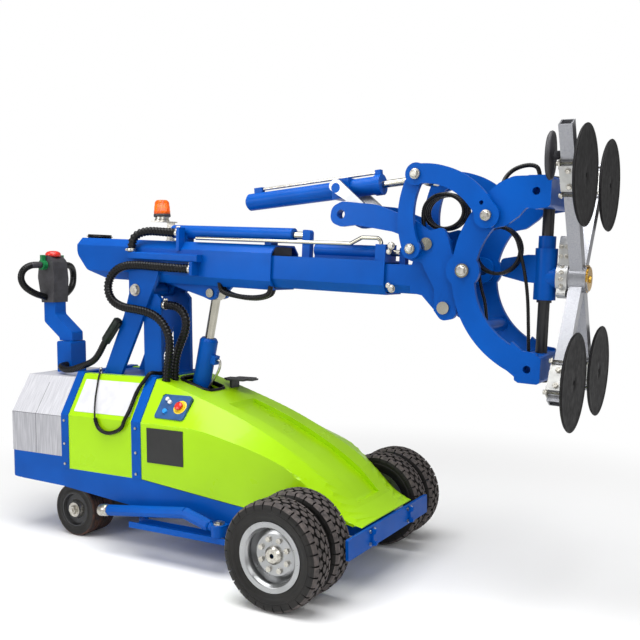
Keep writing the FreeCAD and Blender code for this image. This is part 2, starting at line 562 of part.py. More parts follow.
stage1 = join(stage1, *both(lugPlate), boss, *both(liftEar))
stage1 = stage1.cut([yRod(0, 0, mastPinR + fit, -mastInner, mastInner), yRod(liftU, liftW, liftPinR + fit, -60, 60)])
half2 = stage2H / 2
stage2 = plateX(stageRing(stage2Half, half2, half2, sideChamfer), stage2Tail, stage2Front)
stage2 = stage2.cut(plateX(stageRing(stage2Half - stage2Wall, half2 - stage2Wall, half2 - stage2Wall, sideChamfer - 3),
                           stage2Tail - 1, stage2Front + 1))
half3 = stage3H / 2
stage3 = plateX(stageRing(stage3Half, half3, half3, sideChamfer - 6), stage3Tail, stage3Front)
stage3 = stage3.cut(plateX(stageRing(stage3Half - stage3Wall, half3 - stage3Wall, half3 - stage3Wall, sideChamfer - 9),
                           stage3Tail - 1, stage3Front + 1))

# Extension cylinders lie along the top of the stages; pads carry the inner stages
stage1Top, stage2Top, stage3Top = boomAxisW + stage1Roof, boomAxisW + half2, boomAxisW + half3
ram1Y, ram1W, ram1R, ram1BoreR, ram1RodR = -45.0, 276.0, 30.0, 22.0, 16.0
ram1Back, ram1Front = 150.0, 800.0
ram2Y, ram2R, ram2BoreR, ram2RodR = -32.0, 27.0, 19.0, 13.0
ram2W, ram2Back, ram2Front = stage2Top + 32, 905.0, 1206.0
lug1U, lug1T, lug2U, lug2T = 850.0, 36.0, 1290.0, 26.0
saddles = [box(u, u + 34, ram1Y - 26, ram1Y + 26, stage1Top, ram1W) for u in (ram1Back + 60, stage1Front - 60)]
saddles = [s.cut(xRod(ram1Y, ram1W, ram1R + fit, 0, 1000)) for s in saddles]
railDeep, railLowW, railHighW = 38.0, 143.0, 176.0
sideRail = plateX([(stage1Half, railLowW), (stage1Half + railDeep, railLowW, 5), (stage1Half + railDeep, railHighW, 5),
                   (stage1Half, railHighW)], -40, 365)
hoseStopU, sleeveStopU, sideHoseY, sleeveY = 332.0, 225.0, -134.0, -100.0
hoseStop = box(hoseStopU, hoseStopU + 16, stage1Half, stage1Half + 48, 84, railLowW)
sleeveStop = box(sleeveStopU, sleeveStopU + 16, 82, 122, 190, 294)
stage1 = join(stage1, *saddles, *[b.mirror(V(0, 0, 0), V(0, 1, 0)) for b in (sideRail, hoseStop, sleeveStop)])
keep("boom_stage_1", dipped(stage1))
ram1 = xRod(ram1Y, ram1W, ram1R, ram1Back, ram1Front)
ram1 = ram1.cut([xRod(ram1Y, ram1W, ram1BoreR, ram1Back + 20, ram1Front - 26),
                 xRod(ram1Y, ram1W, ram1RodR + fit, ram1Front - 30, ram1Front + 1)])
keep("extension_barrel_1", dipped(ram1))
rod1 = xRod(ram1Y, ram1W, ram1RodR, ram1Back + 40, lug1U)
piston1 = xRod(ram1Y, ram1W, ram1BoreR - 0.1, ram1Back + 25, ram1Back + 55)
pipeY, pipeR, pipeW = -84.0, 8.0, ram2W + 30
endBlock = box(ram2Front, stage2Front, ram2Y - 62, ram2Y + 40, stage2Top, ram2W + 32)
endBlock = endBlock.cut(xRod(ram2Y, ram2W, ram2RodR + fit, ram2Front - 1, stage2Front + 1))
lug1 = plateY([(lug1U, stage2Top), (lug1U + lug1T, stage2Top), (lug1U + lug1T, ram1W + 24, 14), (lug1U, ram1W + 24, 6)],
              ram1Y - 16, ram1Y + 16)
cradle = box(ram2Back, ram2Front, ram2Y - 18, ram2Y + 18, stage2Top, ram2W - 12)
cradle = cradle.cut(xRod(ram2Y, ram2W, ram2R + fit, ram2Back - 1, ram2Front + 1))
tail2 = [box(stage2Tail, stage2Tail + 70, stage2Half, stage1Half - stage1Wall, 90, 170),
         box(stage2Tail, stage2Tail + 70, -70, 70, boomAxisW - stage1Low + stage1Wall, boomAxisW - half2),
         box(stage2Tail, stage2Tail + 70, -60, 60, stage2Top, boomAxisW + stage1Roof - stage1Wall)]
stage2 = join(stage2, endBlock, lug1, cradle, *both(tail2[0]), *tail2[1:])
keep("boom_stage_2", dipped(stage2))
pipe = bent([V(310, pipeY, pipeW), V(1090, pipeY, pipeW), V(1140, pipeY, pipeW + 26), V(ram2Front + 20, pipeY, pipeW + 26),
             V(ram2Front + 20, pipeY, ram2W + 32)], pipeR, 22)
keep("stage_2_rod_and_pipe", dipped(join(rod1, piston1)), dipped(pipe))
pads = [box(stage1Front - 90, stage1Front - 10, stage2Half, stage1Half - stage1Wall, 90, 170),
        box(stage1Front - 90, stage1Front - 10, -66, 66, boomAxisW - stage1Low + stage1Wall, boomAxisW - half2),
        box(stage1Front - 90, stage1Front - 10, -70, 70, stage2Top, boomAxisW + stage1Roof - stage1Wall)]
keep("wear_pads", *[dipped(p) for p in both(pads[0]) + pads[1:]])
ram2 = xRod(ram2Y, ram2W, ram2R, ram2Back, ram2Front)
ram2 = ram2.cut(xRod(ram2Y, ram2W, ram2BoreR, ram2Back + 16, ram2Front + 1))
keep("extension_barrel_2", dipped(ram2))
rod2 = join(xRod(ram2Y, ram2W, ram2RodR, ram2Back + 20, lug2U), xRod(ram2Y, ram2W, ram2BoreR - 0.1, ram2Back + 18,
                                                                   ram2Back + 38))
lug2 = plateY([(lug2U, stage3Top), (lug2U + lug2T, stage3Top), (lug2U + lug2T, ram2W + 22, 10), (lug2U, ram2W + 22, 6)],
              ram2Y - 16, ram2Y + 16)
inside2, inside2H = stage2Half - stage2Wall, half2 - stage2Wall
strip = box(stage3Tail, stage3Tail + 70, stage3Half, inside2, 97, 156)
flats = [box(stage3Tail, stage3Tail + 70, -50, 50, z0, z1) for z0, z1 in
         ((boomAxisW - inside2H, boomAxisW - half3), (stage3Top, boomAxisW + inside2H))]
pin1, pin2 = level(headPin1X, headPin1Z), level(headPin2X, headPin2Z)
ear = plateY([(stage3Front - 60, 70), (stage3Front - 60, 170), (pin1[0] - 34, pin1[1] + 20, 24), (pin1[0], pin1[1] + 38, 24),
              (pin1[0] + 34, pin1[1] + 20, 24), (pin1[0] + 46, 150, 60), (pin2[0] + 36, pin2[1] + 10, 20),
              (pin2[0] + 20, pin2[1] - 34, 20), (pin2[0] - 26, pin2[1] - 30, 20), (stage3Front - 10, 62)],
             stage3Half - 20, stage3Half)
stage3 = join(stage3, lug2, *both(strip), *flats, *both(ear))
stage3 = stage3.cut([yRod(u, w, headPinR + fit, -100, 100) for u, w in (pin1, pin2)])
keep("boom_stage_3", dipped(stage3))

# Lift cylinder from the frame to the boom ears
liftAim = V(liftPinX - liftBaseX, 0, liftPinZ - liftBaseZ)
liftSpan = liftAim.Length
liftAim.normalize()


def alongLift(shape):
    turn = FreeCAD.Placement(V(liftBaseX, 0, liftBaseZ), FreeCAD.Rotation(V(0, 0, 1), liftAim))
    shape.Placement = turn.multiply(shape.Placement)
    return shape


liftBoreR = liftBarrelR - 10
liftEyeR, liftEyeHalf = 36.0, 29.0
barrel = turned([(36, 0), (36, liftBarrelR - 6), (50, liftBarrelR), (liftBarrelL - 12, liftBarrelR),
                 (liftBarrelL, liftBarrelR - 8), (liftBarrelL, 0)], 0, 0, 0, V(0, 0, 1))
barrel = join(barrel, yRod(0, 0, liftEyeR, -liftEyeHalf + 4, liftEyeHalf - 4), box(-26, 26, -20, 20, 10, 40))
barrel = barrel.cut([yRod(0, 0, liftPinR + liftBasePlay, -60, 60), zRod(0, 0, liftBoreR, 60, liftBarrelL - 26),
                     zRod(0, 0, liftRodR + fit, liftBarrelL - 30, liftBarrelL + 1)])
portBlock = box(liftBarrelR - 6, liftBarrelR + 22, -16, 16, liftBarrelL - 110, liftBarrelL - 70)
barrel = join(barrel, portBlock.cut(zRod(0, 0, liftBarrelR - 4, 0, liftBarrelL)))
keep("lift_barrel", alongLift(barrel))
pistonBack = liftBarrelL - 330
liftRod = join(zRod(0, 0, liftRodR, pistonBack, liftSpan - 24), zRod(0, 0, liftBoreR - 0.1, pistonBack - 30, pistonBack),
               yRod(0, liftSpan, 32, -30, 30), box(-20, 20, -20, 20, liftSpan - 30, liftSpan - 10),
               yRod(0, liftSpan, liftPinR, -52, 52))
liftHead = yRod(0, liftSpan, liftPinR + 5, 52, 58)
keep("lift_rod", alongLift(join(liftRod, *both(liftHead))))

# Beacon on a bent bracket
beaconX, beaconY, beaconZ = -928.0, -40.0, 1484.0
beaconR, beaconH, beaconBaseH = 34.0, 68.0, 28.0
beaconU, beaconW = level(beaconX, beaconZ)
foot = box(beaconU - 28, beaconU + 28, 22, 60, stage1Top, stage1Top + 5)
post = box(beaconU - 22, beaconU + 22, 22, 27, stage1Top, beaconW - 5)
shelf = box(beaconU - 36, beaconU + 36, beaconY - 36, 27, beaconW - 5, beaconW)
beaconBase = turned([(0, 0), (0, beaconR), (6, beaconR), (8, beaconR - 3), (beaconBaseH, beaconR - 3), (beaconBaseH, 0)],
                    beaconU, beaconY, beaconW, V(0, 0, 1))
keep("beacon_base", dipped(join(foot, post, shelf)), dipped(beaconBase))
beaconLens = turned([(beaconBaseH, 0), (beaconBaseH, beaconR - 1), (beaconBaseH + beaconH - 12, beaconR - 4),
                     (beaconBaseH + beaconH, beaconR - 14, 6), (beaconBaseH + beaconH, 0)], beaconU, beaconY, beaconW,
                    V(0, 0, 1))
keep("beacon_lens", dipped(beaconLens))

# Head bracket: side plates with a trunnion arm reaching back over the boom
bracketIn = stage3Half
bracketOut = bracketIn + bracketT
bowIn = bracketOut + headGap
bowOut = bowIn + bowT
linkIn = bowOut + play
linkOut = linkIn + linkT
armHoleX, armHoleZ, armHoleR = 54.0, 1469.0, 18.0
bracketPlate = plateY([(367, 1436, 40), (432, 1390, 30), (488, 1402, 20), (508, 1362, 20), (524, 1300), (618, 1280, 40),
                       (618, 1200, 40), (536, 1180), (540, 1062, 30), (480, 1050, 30), (450, 1090), (452, 1172, 30),
                       (400, 1272), (336, 1280, 40), (322, 1376), (280, 1392), (120, 1424), (54, 1419, 40),
                       (4, 1440, 40), (12, 1500, 40), (60, 1520, 40), (210, 1500, 90)], bracketIn, bracketOut)
bracketHoles = [yRod(x, z, r + fit, -300, 300) for x, z, r in
                ((headPin1X, headPin1Z, headPinR), (headPin2X, headPin2Z, headPinR), (rockerX, rockerZ, linkPinR + 3),
                 (bowPivotX, bowPivotZ, headPinR))] + [yRod(armHoleX, armHoleZ, armHoleR, -300, 300)]
bracketTie = box(520, 545, -bracketIn, bracketIn, 1205, 1270)
armTie = yRod(150, 1462, 22, -bracketIn, bracketIn)
armBoss = yRod(armHoleX, armHoleZ, 40, bracketIn - 26, bracketIn)
spacers = [b for x, z, r in ((rockerX, rockerZ, 28), (bowPivotX, bowPivotZ, 36))
           for b in both(yRod(x, z, r, bracketOut, bowIn - play))]
bracket = join(*both(bracketPlate), bracketTie, armTie, *both(armBoss), *spacers).cut(bracketHoles)
keep("head_bracket", bracket)


def stub(x, z, r, y0, y1, headR, headT=8.0):
    return both(join(yRod(x, z, r, y0, y1), yRod(x, z, headR, y1, y1 + headT)))


keep("stage_3_rod_and_pins", dipped(rod2), *stub(headPin1X, headPin1Z, headPinR, 0.5, bracketOut, 24), *stub(headPin2X, headPin2Z, headPinR, 0.5,
     bracketOut, 24), *stub(rockerX, rockerZ, linkPinR + 3, bracketIn, bowOut + 1, linkPinHeadR),
     *stub(bowPivotX, bowPivotZ, headPinR, bracketIn, bowOut + 1, 26))


# Rocker pair, link pair and the C-shaped bow
rockerPlate = join(band((680, 1433, 363, 149, 199), (649, 1443, 268, 149, 201), bowIn, bowOut),
                   *[yRod(x, z, 38, bowIn, bowOut) for x, z in ((rockerX, rockerZ), (topPinX, topPinZ))])
rockerPlate = rockerPlate.cut(yRod(rockerX, rockerZ, linkPinR + 3 + fit, 0, 300))
topPin = join(yRod(topPinX, topPinZ, linkPinR, -linkOut - 2, linkOut + 2),
              *both(yRod(topPinX, topPinZ, linkPinHeadR, linkOut + 2, linkOut + 9)))
keep("tilt_rocker", join(*both(rockerPlate), topPin))
linkPlate = join(band((417, 1311, 326, 26, 93), (424, 1334, 230, 26, 93), linkIn, linkOut),
                 yRod(topPinX, topPinZ, 42, linkIn, linkOut), yRod(bowLinkX, bowLinkZ, 47, linkIn, linkOut))
linkPlate = linkPlate.cut([yRod(topPinX, topPinZ, linkPinR + topPinPlay, 0, 300),
                           yRod(bowLinkX, bowLinkZ, linkPinR + 3 + fit, 0, 300),
                           yRod(bowLinkX - 18, bowLinkZ + 46, 8, 0, 300)])
keep("tilt_link", *both(linkPlate))
bowArm = plateY([(641, 1484), (677, 1521, 60), (714, 1550, 60), (766, 1570, 60), (888, 1566, 12), (898, 1520, 10),
                 (890, 1456, 10), (842, 1450, 8), (812, 1458, 14), (785, 1429, 30), (737, 1396, 40), (692, 1389),
                 (640, 1400)], bowIn, bowOut)
bowFoot = plateY([(730, 890), (769, 860, 6), (769, 844, 8), (846, 840, 14), (850, 944, 10), (798, 952), (760, 985)],
                 bowIn, bowOut)
bowPlate = join(band((915, 1220, 381, 135.5, 248), (890, 1206, 270, 137, 250), bowIn, bowOut), bowArm, bowFoot,
                yRod(bowPivotX, bowPivotZ, 64, bowIn, bowOut))
bowPlate = bowPlate.cut(yRod(bowPivotX, bowPivotZ, headPinR + fit, 0, 300))


def headed(shape):
    turn = FreeCAD.Placement(V(headX, 0, headZ), FreeCAD.Rotation(V(0, 1, 0), headLean))
    shape.Placement = turn.multiply(shape.Placement)
    return shape


blockHigh, blockLow = (246.0, 356.0), (-376.0, -276.0)
upperBlock = headed(plateY([(-52, blockHigh[0], 14), (40, blockHigh[0], 14), (40, blockHigh[1], 14),
                            (-52, blockHigh[1], 14)], -bowOut, bowOut))
lowerBlock = headed(plateY([(-52, blockLow[0], 14), (36, blockLow[0], 14), (36, blockLow[1], 14),
                            (-52, blockLow[1], 14)], -bowOut, bowOut))
bowTieX, bowTieZ, bowTieR = 640.0, 1030.0, 26.0
bowTie = yRod(bowTieX, bowTieZ, bowTieR, -bowIn, bowIn)
bowPin = join(yRod(bowLinkX, bowLinkZ, linkPinR + 3, bowOut - 1, linkOut + 1),
              yRod(bowLinkX, bowLinkZ, linkPinHeadR, linkOut + 1, linkOut + 9))
bow = join(*both(bowPlate), upperBlock, lowerBlock, bowTie, *both(bowPin))
socketR, socketDeep, socketBack = 14.0, {blockHigh: 40.0, blockLow: 36.0}, -12.0
bow = bow.cut([headed(zRod(0, 0, shaftR + fit, blockLow[0] - 9, blockHigh[1] + 9))] +
              [b for block, deep in socketDeep.items() for b in
               both(headed(yRod(socketBack, sum(block) / 2, socketR, bowOut - deep, bowOut + 1)))])
keep("head_bow", bow)

# Tilt cylinder: trunnion-mounted barrel above the boom
tiltAim = V(topPinX - tiltPivotX, 0, topPinZ - tiltPivotZ)
tiltSpan = tiltAim.Length
tiltAim.normalize()


def alongTilt(shape):
    turn = FreeCAD.Placement(V(tiltPivotX, 0, tiltPivotZ), FreeCAD.Rotation(V(1, 0, 0), tiltAim))
    shape.Placement = turn.multiply(shape.Placement)
    return shape


trunnionR, trunnionBoxHalf = 20.0, 46.0
tiltPlateT = 14.0
tiltBackPort, tiltFrontPort = 80 - tiltBackL, tiltFrontL - 28
tiltBoreR = tiltBarrelR - 9
tiltBarrel = turned([(-tiltBackL, 0), (-tiltBackL, tiltBarrelR - 10), (10 - tiltBackL, tiltBarrelR),
                     (tiltFrontL - 30, tiltBarrelR), (tiltFrontL - 30, tiltBarrelR + 5), (tiltFrontL, tiltBarrelR + 5),
                     (tiltFrontL, 0)], 0, 0, 0, V(1, 0, 0))
tiltBarrel = join(tiltBarrel, box(-40, 40, -trunnionBoxHalf, trunnionBoxHalf, -40, 40),
                  yRod(0, 0, trunnionR, -bracketIn, bracketIn), box(tiltBackPort - 40, tiltBackPort, -12, 12, 20, 58),
                  box(tiltFrontPort, tiltFrontPort + 24, -12, 12, 30, 60))
tiltBarrel = tiltBarrel.cut([xRod(0, 0, tiltBoreR, 20 - tiltBackL, tiltFrontL - 30),
                             xRod(0, 0, tiltRodR + fit, tiltFrontL - 31, tiltFrontL + 1)])
tiltPipe = xRod(0, 49, 6, tiltBackPort, tiltFrontPort)
keep("tilt_barrel", alongTilt(tiltBarrel), alongTilt(tiltPipe))
tiltRod = join(xRod(0, 0, tiltRodR, -150, tiltSpan - 20), xRod(0, 0, tiltBoreR - 0.1, -190, -150),
               yRod(tiltSpan, 0, tiltEyeR, -26, 26), box(tiltSpan - 40, tiltSpan - 20, -18, 18, -18, 18))
keep("tilt_rod", alongTilt(tiltRod.cut(yRod(tiltSpan, 0, linkPinR + topPinPlay, -30, 30))))
tiltPlate = plateY([(tiltPivotX - 44, tiltPivotZ + 6, 34), (tiltPivotX, tiltPivotZ + 46, 34),
                    (tiltPivotX + 44, tiltPivotZ + 6, 34), (armHoleX + 90, 1512, 20), (armHoleX + 130, 1440, 20),
                    (armHoleX + 60, 1432, 20), (armHoleX + 30, 1512, 20)], bracketIn - tiltPlateT, bracketIn)
tiltPlate = tiltPlate.cut([yRod(tiltPivotX, tiltPivotZ, trunnionR + fit, 0, 200), yRod(150, 1462, 22 + fit, 0, 200),
                           yRod(armHoleX, armHoleZ, 40 + fit, 0, 200)])
keep("tilt_bracket", *both(tiltPlate))

# Swing shaft, swing knuckle and roll housing
shoulder = 10.0
shaft = join(zRod(0, 0, shaftR, blockLow[0] - 6, blockHigh[1] + 6), zRod(0, 0, shaftR + 8, blockLow[0] - 6, blockLow[0]),
             zRod(0, 0, shaftR + 8, blockHigh[1], blockHigh[1] + 6), zRod(0, 0, shaftR + 6, sleeveLow - shoulder, sleeveLow),
             zRod(0, 0, collarR, sleeveHigh, sleeveHigh + collarHigh))
keep("swing_shaft", headed(shaft))
knuckleFront, swingArmL = 50.0, 160.0
swingArm = plateY([(-swingArmL, 0, 16), (-swingArmL, 62, 16), (-60, 80, 40), (0, 80), (0, -24), (-70, -20, 40)], -28, 28)
knuckle = join(zRod(0, 0, sleeveR, sleeveLow, sleeveHigh), swingArm, xRod(0, 0, 40, 0, knuckleFront))
knuckle = knuckle.cut(zRod(0, 0, shaftR + fit, sleeveLow - 1, sleeveHigh + 1))
keep("swing_knuckle", headed(knuckle))
rollR, housingR = 24.0, 60.0
housing = xRod(0, 0, housingR, knuckleFront, armBack - 5)
motor = plateX([(-34, 40), (34, 40), (34, 120, 10), (20, 150, 10), (-20, 150, 10), (-34, 120, 10)], knuckleFront + 2,
               armBack - 6)
worm = plateX([(-58, -60, 8), (-30, -72, 8), (30, -72, 8), (40, -30), (-40, -20)], knuckleFront + 4, armBack - 8)
housing = join(housing, motor, worm).cut(xRod(0, 0, rollR + fit, knuckleFront + 6, armBack))
keep("roll_housing", headed(housing))

# Rolling suction frame: four square tubes on a hub, a clamp and a cup on each
armTilt = math.degrees(math.atan2(cupY, cupZ))
cupReach = math.hypot(cupY, cupZ)
armLength, armLongest = 480.0, 584.0
turns = [(armTilt, armLongest), (-armTilt, armLength), (180 - armTilt, armLength), (180 + armTilt, armLength)]
armMid = armBack + armSize / 2
hubFront = armBack + armSize + 12


def rolled(shape, degrees):
    shape.rotate(V(0, 0, 0), V(1, 0, 0), degrees)
    return shape


frameHub = join(xRod(0, 0, 50, armBack - 5, hubFront), xRod(0, 0, rollR, knuckleFront + 8, armBack))
tubes, bores = [], []
for degrees, length in turns:
    tubes.append(rolled(box(armBack, armBack + armSize, -armSize / 2, armSize / 2, 30, length), degrees))
    bores.append(rolled(box(armBack + armWall, armBack + armSize - armWall, armWall - armSize / 2, armSize / 2 - armWall,
                            70, length + 1), degrees))
hubDisc = headed(turned([(hubFront, 0), (hubFront, 44), (hubFront + 6, 44, 2), (hubFront + 6, 14), (hubFront + 12, 12),
                         (hubFront + 12, 0)], 0, 0, 0, V(1, 0, 0)))
keep("suction_frame", headed(join(frameHub, *tubes).cut(bores)), hubDisc)
clampT, clampL, plateR, plateT = 7.0, 92.0, 96.0, 6.0
cupPlateX = cupFace - cupLip - plateT
carriers, cups = [], []
for degrees, length in turns:
    grip = armSize / 2
    block = box(armBack - clampT, armBack + armSize + clampT, -grip - clampT, grip + clampT, cupReach - clampL / 2,
                cupReach + clampL / 2)
    block = block.cut(box(armBack - fit, armBack + armSize + fit, -grip - fit, grip + fit, cupReach - clampL, cupReach + clampL))
    disc = Part.makeCylinder(plateR, plateT, V(cupPlateX, 0, cupReach), V(1, 0, 0))
    stem = Part.makeCylinder(26, cupPlateX - armBack - armSize - clampT + 1, V(armBack + armSize + clampT - 1, 0, cupReach),
                             V(1, 0, 0))
    carriers.append(headed(rolled(join(block, disc, stem), degrees)))
    cup = turned([(0, 9), (0, cupR - 12), (6, cupR - 5), (cupLip, cupR), (cupLip, cupR - 14), (cupLip - 2, cupR - 17),
                  (cupLip - 2, 9)], cupPlateX + plateT, 0, cupReach, V(1, 0, 0))
    cups.append(headed(rolled(cup, degrees)))
keep("cup_carriers", *carriers)
keep("suction_cups", *cups)

# Tiller: a square socket through the tail cover, a cranked arm and a control head
socketTop = 904.0
socket = join(box(tillerX - columnHalf, tillerX + columnHalf, -columnHalf, columnHalf, floorZ + floorT, rearTopZ),
              plateY([(tillerX - socketHalf, rearTopZ), (tillerX + socketHalf, rearTopZ), (tillerX + socketHalf, socketTop, 12),
                      (tillerX - socketHalf, socketTop, 12)], -socketHalf, socketHalf))
socket = socket.cut(zRod(tillerX, 0, postR + fit, 420, socketTop + 1))
keep("tiller_socket", socket)
tillerArm = plateY([(-1535, 906), (-1535, 950, 14), (-1652, 1040, 20), (-1652, 1100), (-1732, 1100), (-1732, 1000, 20),
                    (-1625, 920, 14), (-1625, 906)], -36, 36)
keep("tiller_arm", join(tillerArm, zRod(tillerX, 0, postR, 430, 906)))
gripX, gripZ, gripR = -1705.0, 1290.0, 14.0
headBody = plateY([(-1735, 1100), (-1650, 1100), (-1640, 1220, 60), (-1650, 1310, 30), (-1690, 1345, 30),
                   (-1745, 1320, 30), (-1760, 1230, 60)], -48, 48)
loops = both(bent([V(gripX, 47, gripZ), V(gripX, 150, gripZ), V(gripX, 192, 1240), V(gripX, 46, 1124)], gripR, 24))
headBody = join(headBody, *loops)
buttonR, buttonTravel = 34.0, 6.0
buttonSeat = 1262.0
button = xRod(0, buttonSeat, 18, -1767, -1700)
headBody = headBody.cut(xRod(0, buttonSeat, 18 + fit, -1800, -1690))
keep("tiller_head", headBody)
keep("belly_button", join(button, turned([(-1776, 0), (-1776, buttonR - 12), (-1770, buttonR), (-1766.5, buttonR), (-1766.5, 0)],
                                         0, 0, buttonSeat, V(1, 0, 0))))
throttle = yRod(gripX, gripZ, 24, 48.5, 74).cut(yRod(gripX, gripZ, gripR + fit, 40, 80))
paddle = box(gripX - 8, gripX + 8, 50, 72, gripZ + 20, gripZ + 52)
keep("throttles", *both(join(throttle, paddle)))

# Batteries and power pack on the floor
packTop = 520.0
cells = [box(-1670, -1410, 62, 230, floorZ + floorT, packTop), box(-1670, -1410, -230, -62, floorZ + floorT, packTop)]
pump = join(box(-760, -420, 110, 260, floorZ + floorT, 420), zRod(-640, 185, 60, 420, 520))
keep("power_pack", *cells, pump)

# Hoses and cables: straight runs joined by arcs


def pathOf(points):
    edges, last = [], points[0]
    for i in range(1, len(points) - 1):
        c = points[i]
        before, after = points[i - 1].sub(c), points[i + 1].sub(c)
        run = 0.45 * min(before.Length, after.Length)
        before.normalize()
        after.normalize()
        half = before.getAngle(after) / 2
        bend = run * math.tan(half)
        tip = c.add(before.add(after).normalize() * (bend / math.sin(half) - bend))
        start, stop = c.add(before * run), c.add(after * run)
        edges += [Part.makeLine(last, start), Part.Arc(start, tip, stop).toShape()]
        last = stop
    edges.append(Part.makeLine(last, points[-1]))
    return Part.Wire(edges)


def hose(points, r):
    ring = Part.Wire(Part.makeCircle(r, points[0], points[1].sub(points[0])))
    return pathOf(points).makePipeShell([ring], True, False)


hoseR, bundleR, sleeveDepth, sleevePitch = 20.0, 16.0, 3.0, 14.0
hoseHoleX, railHoseY, mastHoseY = -824.0, -152.0, -92.0


def boomPoint(u, y, w):
    a = math.radians(boomDip)
    return V(mastPinX + u * math.cos(a) + w * math.sin(a), y, mastPinZ - u * math.sin(a) + w * math.cos(a))


railHose = hose([boomPoint(hoseStopU - back, sideHoseY - out, w) for back, out, w in
                 ((0.3, 0, 112), (44, 0, 112), (98, 18, 113))] +
                [V(x, y, z) for x, y, z in (
                    (-900, -153, 1274), (-985, -153, 1281), (-1060, -155, 1279), (-1118, -158, 1256), (-1153, -162, 1212),
                    (-1156, -166, 1158), (-1124, -169, 1112), (-1058, -171, 1086), (-980, -170, 1078), (-905, -167, 1066),
                    (-846, -163, 1036), (-806, -160, 988), (-794, -157, 930), (-802, -154, 872), (-815, -152, 822),
                    (hoseHoleX, railHoseY, 774), (hoseHoleX, railHoseY, 716))], hoseR)
mastHose = hose([V(x, mastHoseY, z) for x, z in (
    (frontLegX + 0.3, 1096), (-842, 1096), (-798, 1088), (-764, 1060), (-750, 1016), (-762, 968), (-788, 922),
    (-810, 874), (-822, 824), (hoseHoleX, 774), (hoseHoleX, 716))], hoseR)
keep("mast_hoses", railHose, mastHose)
hood = hood.cut([zRod(hoseHoleX, y, hoseR + 0.3, 690, 800) for y in (railHoseY, mastHoseY)])
keep("hood", hood)


def ribbed(points, r, depth, pitch, boreR, steady):
    # corrugated sleeve: crests and valleys lofted along the path, with a clear bore
    path = pathOf(points)
    ribs = round(path.Length / pitch)
    spots = path.discretize(Number=4 * ribs + 1)
    rings = []
    for k, spot in enumerate(spots):
        ahead = spots[min(k + 1, len(spots) - 1)].sub(spots[max(k - 1, 0)])
        size = r if k % 4 in (1, 2) else r - depth
        ring = Part.Wire(Part.makeCircle(size))
        ring.Placement = FreeCAD.Placement(spot, FreeCAD.Rotation(steady, ahead.cross(steady), ahead, "ZXY"))
        rings.append(ring)
    print("sleeve ribs", ribs)
    core = path.makePipeShell([Part.Wire(Part.makeCircle(boreR, points[0], points[1].sub(points[0])))], True, False)
    return Part.makeLoft(rings, True, True).cut(core)


sleeveRoute = [(sleeveStopU - 0.3, sleeveY, 270), (170, sleeveY, 270), (112, sleeveY, 272), (56, -103, 274),
               (8, -112, 266), (-20, -126, 244), (-28, -133, 212), (-28, -133, railHighW + 0.3)]
boomSleeve = ribbed([boomPoint(*p) for p in sleeveRoute], hoseR, sleeveDepth, sleevePitch, 12.0, V(0, 1, 0.2))
keep("boom_sleeve", boomSleeve)
bundleY = -mastInner - mastT - bundleR - 0.3
bundle = hose([V(x, y, z) for x, y, z in (
    (tillerX + 20, -socketHalf - 0.3, 786), (tillerX + 20, -86, 786), (-1532, -116, 778), (-1484, -130, 772),
    (-1430, -138, 776), (-1376, -144, 792), (-1320, bundleY, 808), (-1272, bundleY, 828), (-1236, bundleY, 866), (-1206, bundleY, 912), (-1172, bundleY, 954),
    (-1138, bundleY, 990), (-1106, bundleY, 1026))], bundleR)
onCover = label.Placement.multVec
foldY, foldR, thinR, studX, studY = -bodyHalf - 12, 9.0, 4.0, -1215.0, -162.0
hoopTop = deckZ + 2 + hoopProud
thick = hose([V(-868, -60, hoopTop + foldR + 0.2), V(-868, -120, hoopTop + foldR + 0.2), V(-874, -158, 789), V(-884, -191, 796)] +
             [onCover(V(x, up, off)) for x, up, off in ((-902, 192, 19), (-921, 160, 15), (-930, 122, 13), (-930, 80, 12),
                                                        (-930, 40, 14))] +
             [V(-934, foldY - 6, 591)] +
             [V(x, foldY, z) for x, z in ((-952, 558), (-987, 536), (-1036, 523), (-1080, 530), (-1108, 552), (-1117, 588))],
             foldR)
thin = hose([V(-1117, foldY, 578), V(-1119, foldY, 602)] +
            [onCover(V(x, up, off)) for x, up, off in ((-1146, 46, 9), (-1167, 95, 8), (-1183, 150, 8), (-1196, 200, 9))] +
            [V(studX + 12, studY - 12, 789), V(studX, studY, 789)], thinR)
stud = zRod(studX, studY, 9, deckZ, deckZ + 30)
keep("cable_bundle", bundle, join(thick, thin, stud))


def coil(x, z, ringR, r, y, pitch):
    # three turns lying side by side
    rings = [Part.makeTorus(ringR, r, V(x, y + k * pitch, z), V(0, 1, 0)) for k in (-1, 0, 1)]
    return join(*rings)


backCoilX, backCoilZ, backCoilR, backTailX = 460.0, 1473.0, 80.0, 533.0
frontCoilX, frontCoilZ, frontCoilR, frontCoilY = 685.0, 1312.0, 85.0, -54.5
coilR, coilPitch, tailR = 8.0, 15.5, 7.0
backTail = hose([V(backCoilX + backCoilR, 0, z) for z in (backCoilZ, 1410)] +
                [V(backTailX, 0, 1340), V(backTailX, 0, 1270.2)], tailR)
frontTail = hose([V(frontCoilX - frontCoilR, frontCoilY, z) for z in (frontCoilZ, 1230)] +
                 [V(bowTieX, frontCoilY, 1130), V(bowTieX, frontCoilY, bowTieZ + bowTieR + 0.2)], tailR)
keep("head_coil_back", join(coil(backCoilX, backCoilZ, backCoilR, coilR, 0, coilPitch), backTail))
keep("head_coil_front", join(coil(frontCoilX, frontCoilZ, frontCoilR, coilR, frontCoilY, coilPitch), frontTail))

extent = Part.makeCompound(list(parts.values())).optimalBoundingBox(False)
xMid = (extent.XMin + extent.XMax) / 2
for name, shape in parts.items():
    shape.translate(V(-xMid, 0, 0))
    shape.exportStep("parts/" + name + ".step")
print(len(parts), "nodes, middle at", round(xMid, 4), extent)
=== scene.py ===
import math

import bmesh
import bpy
from mathutils import Matrix, Vector


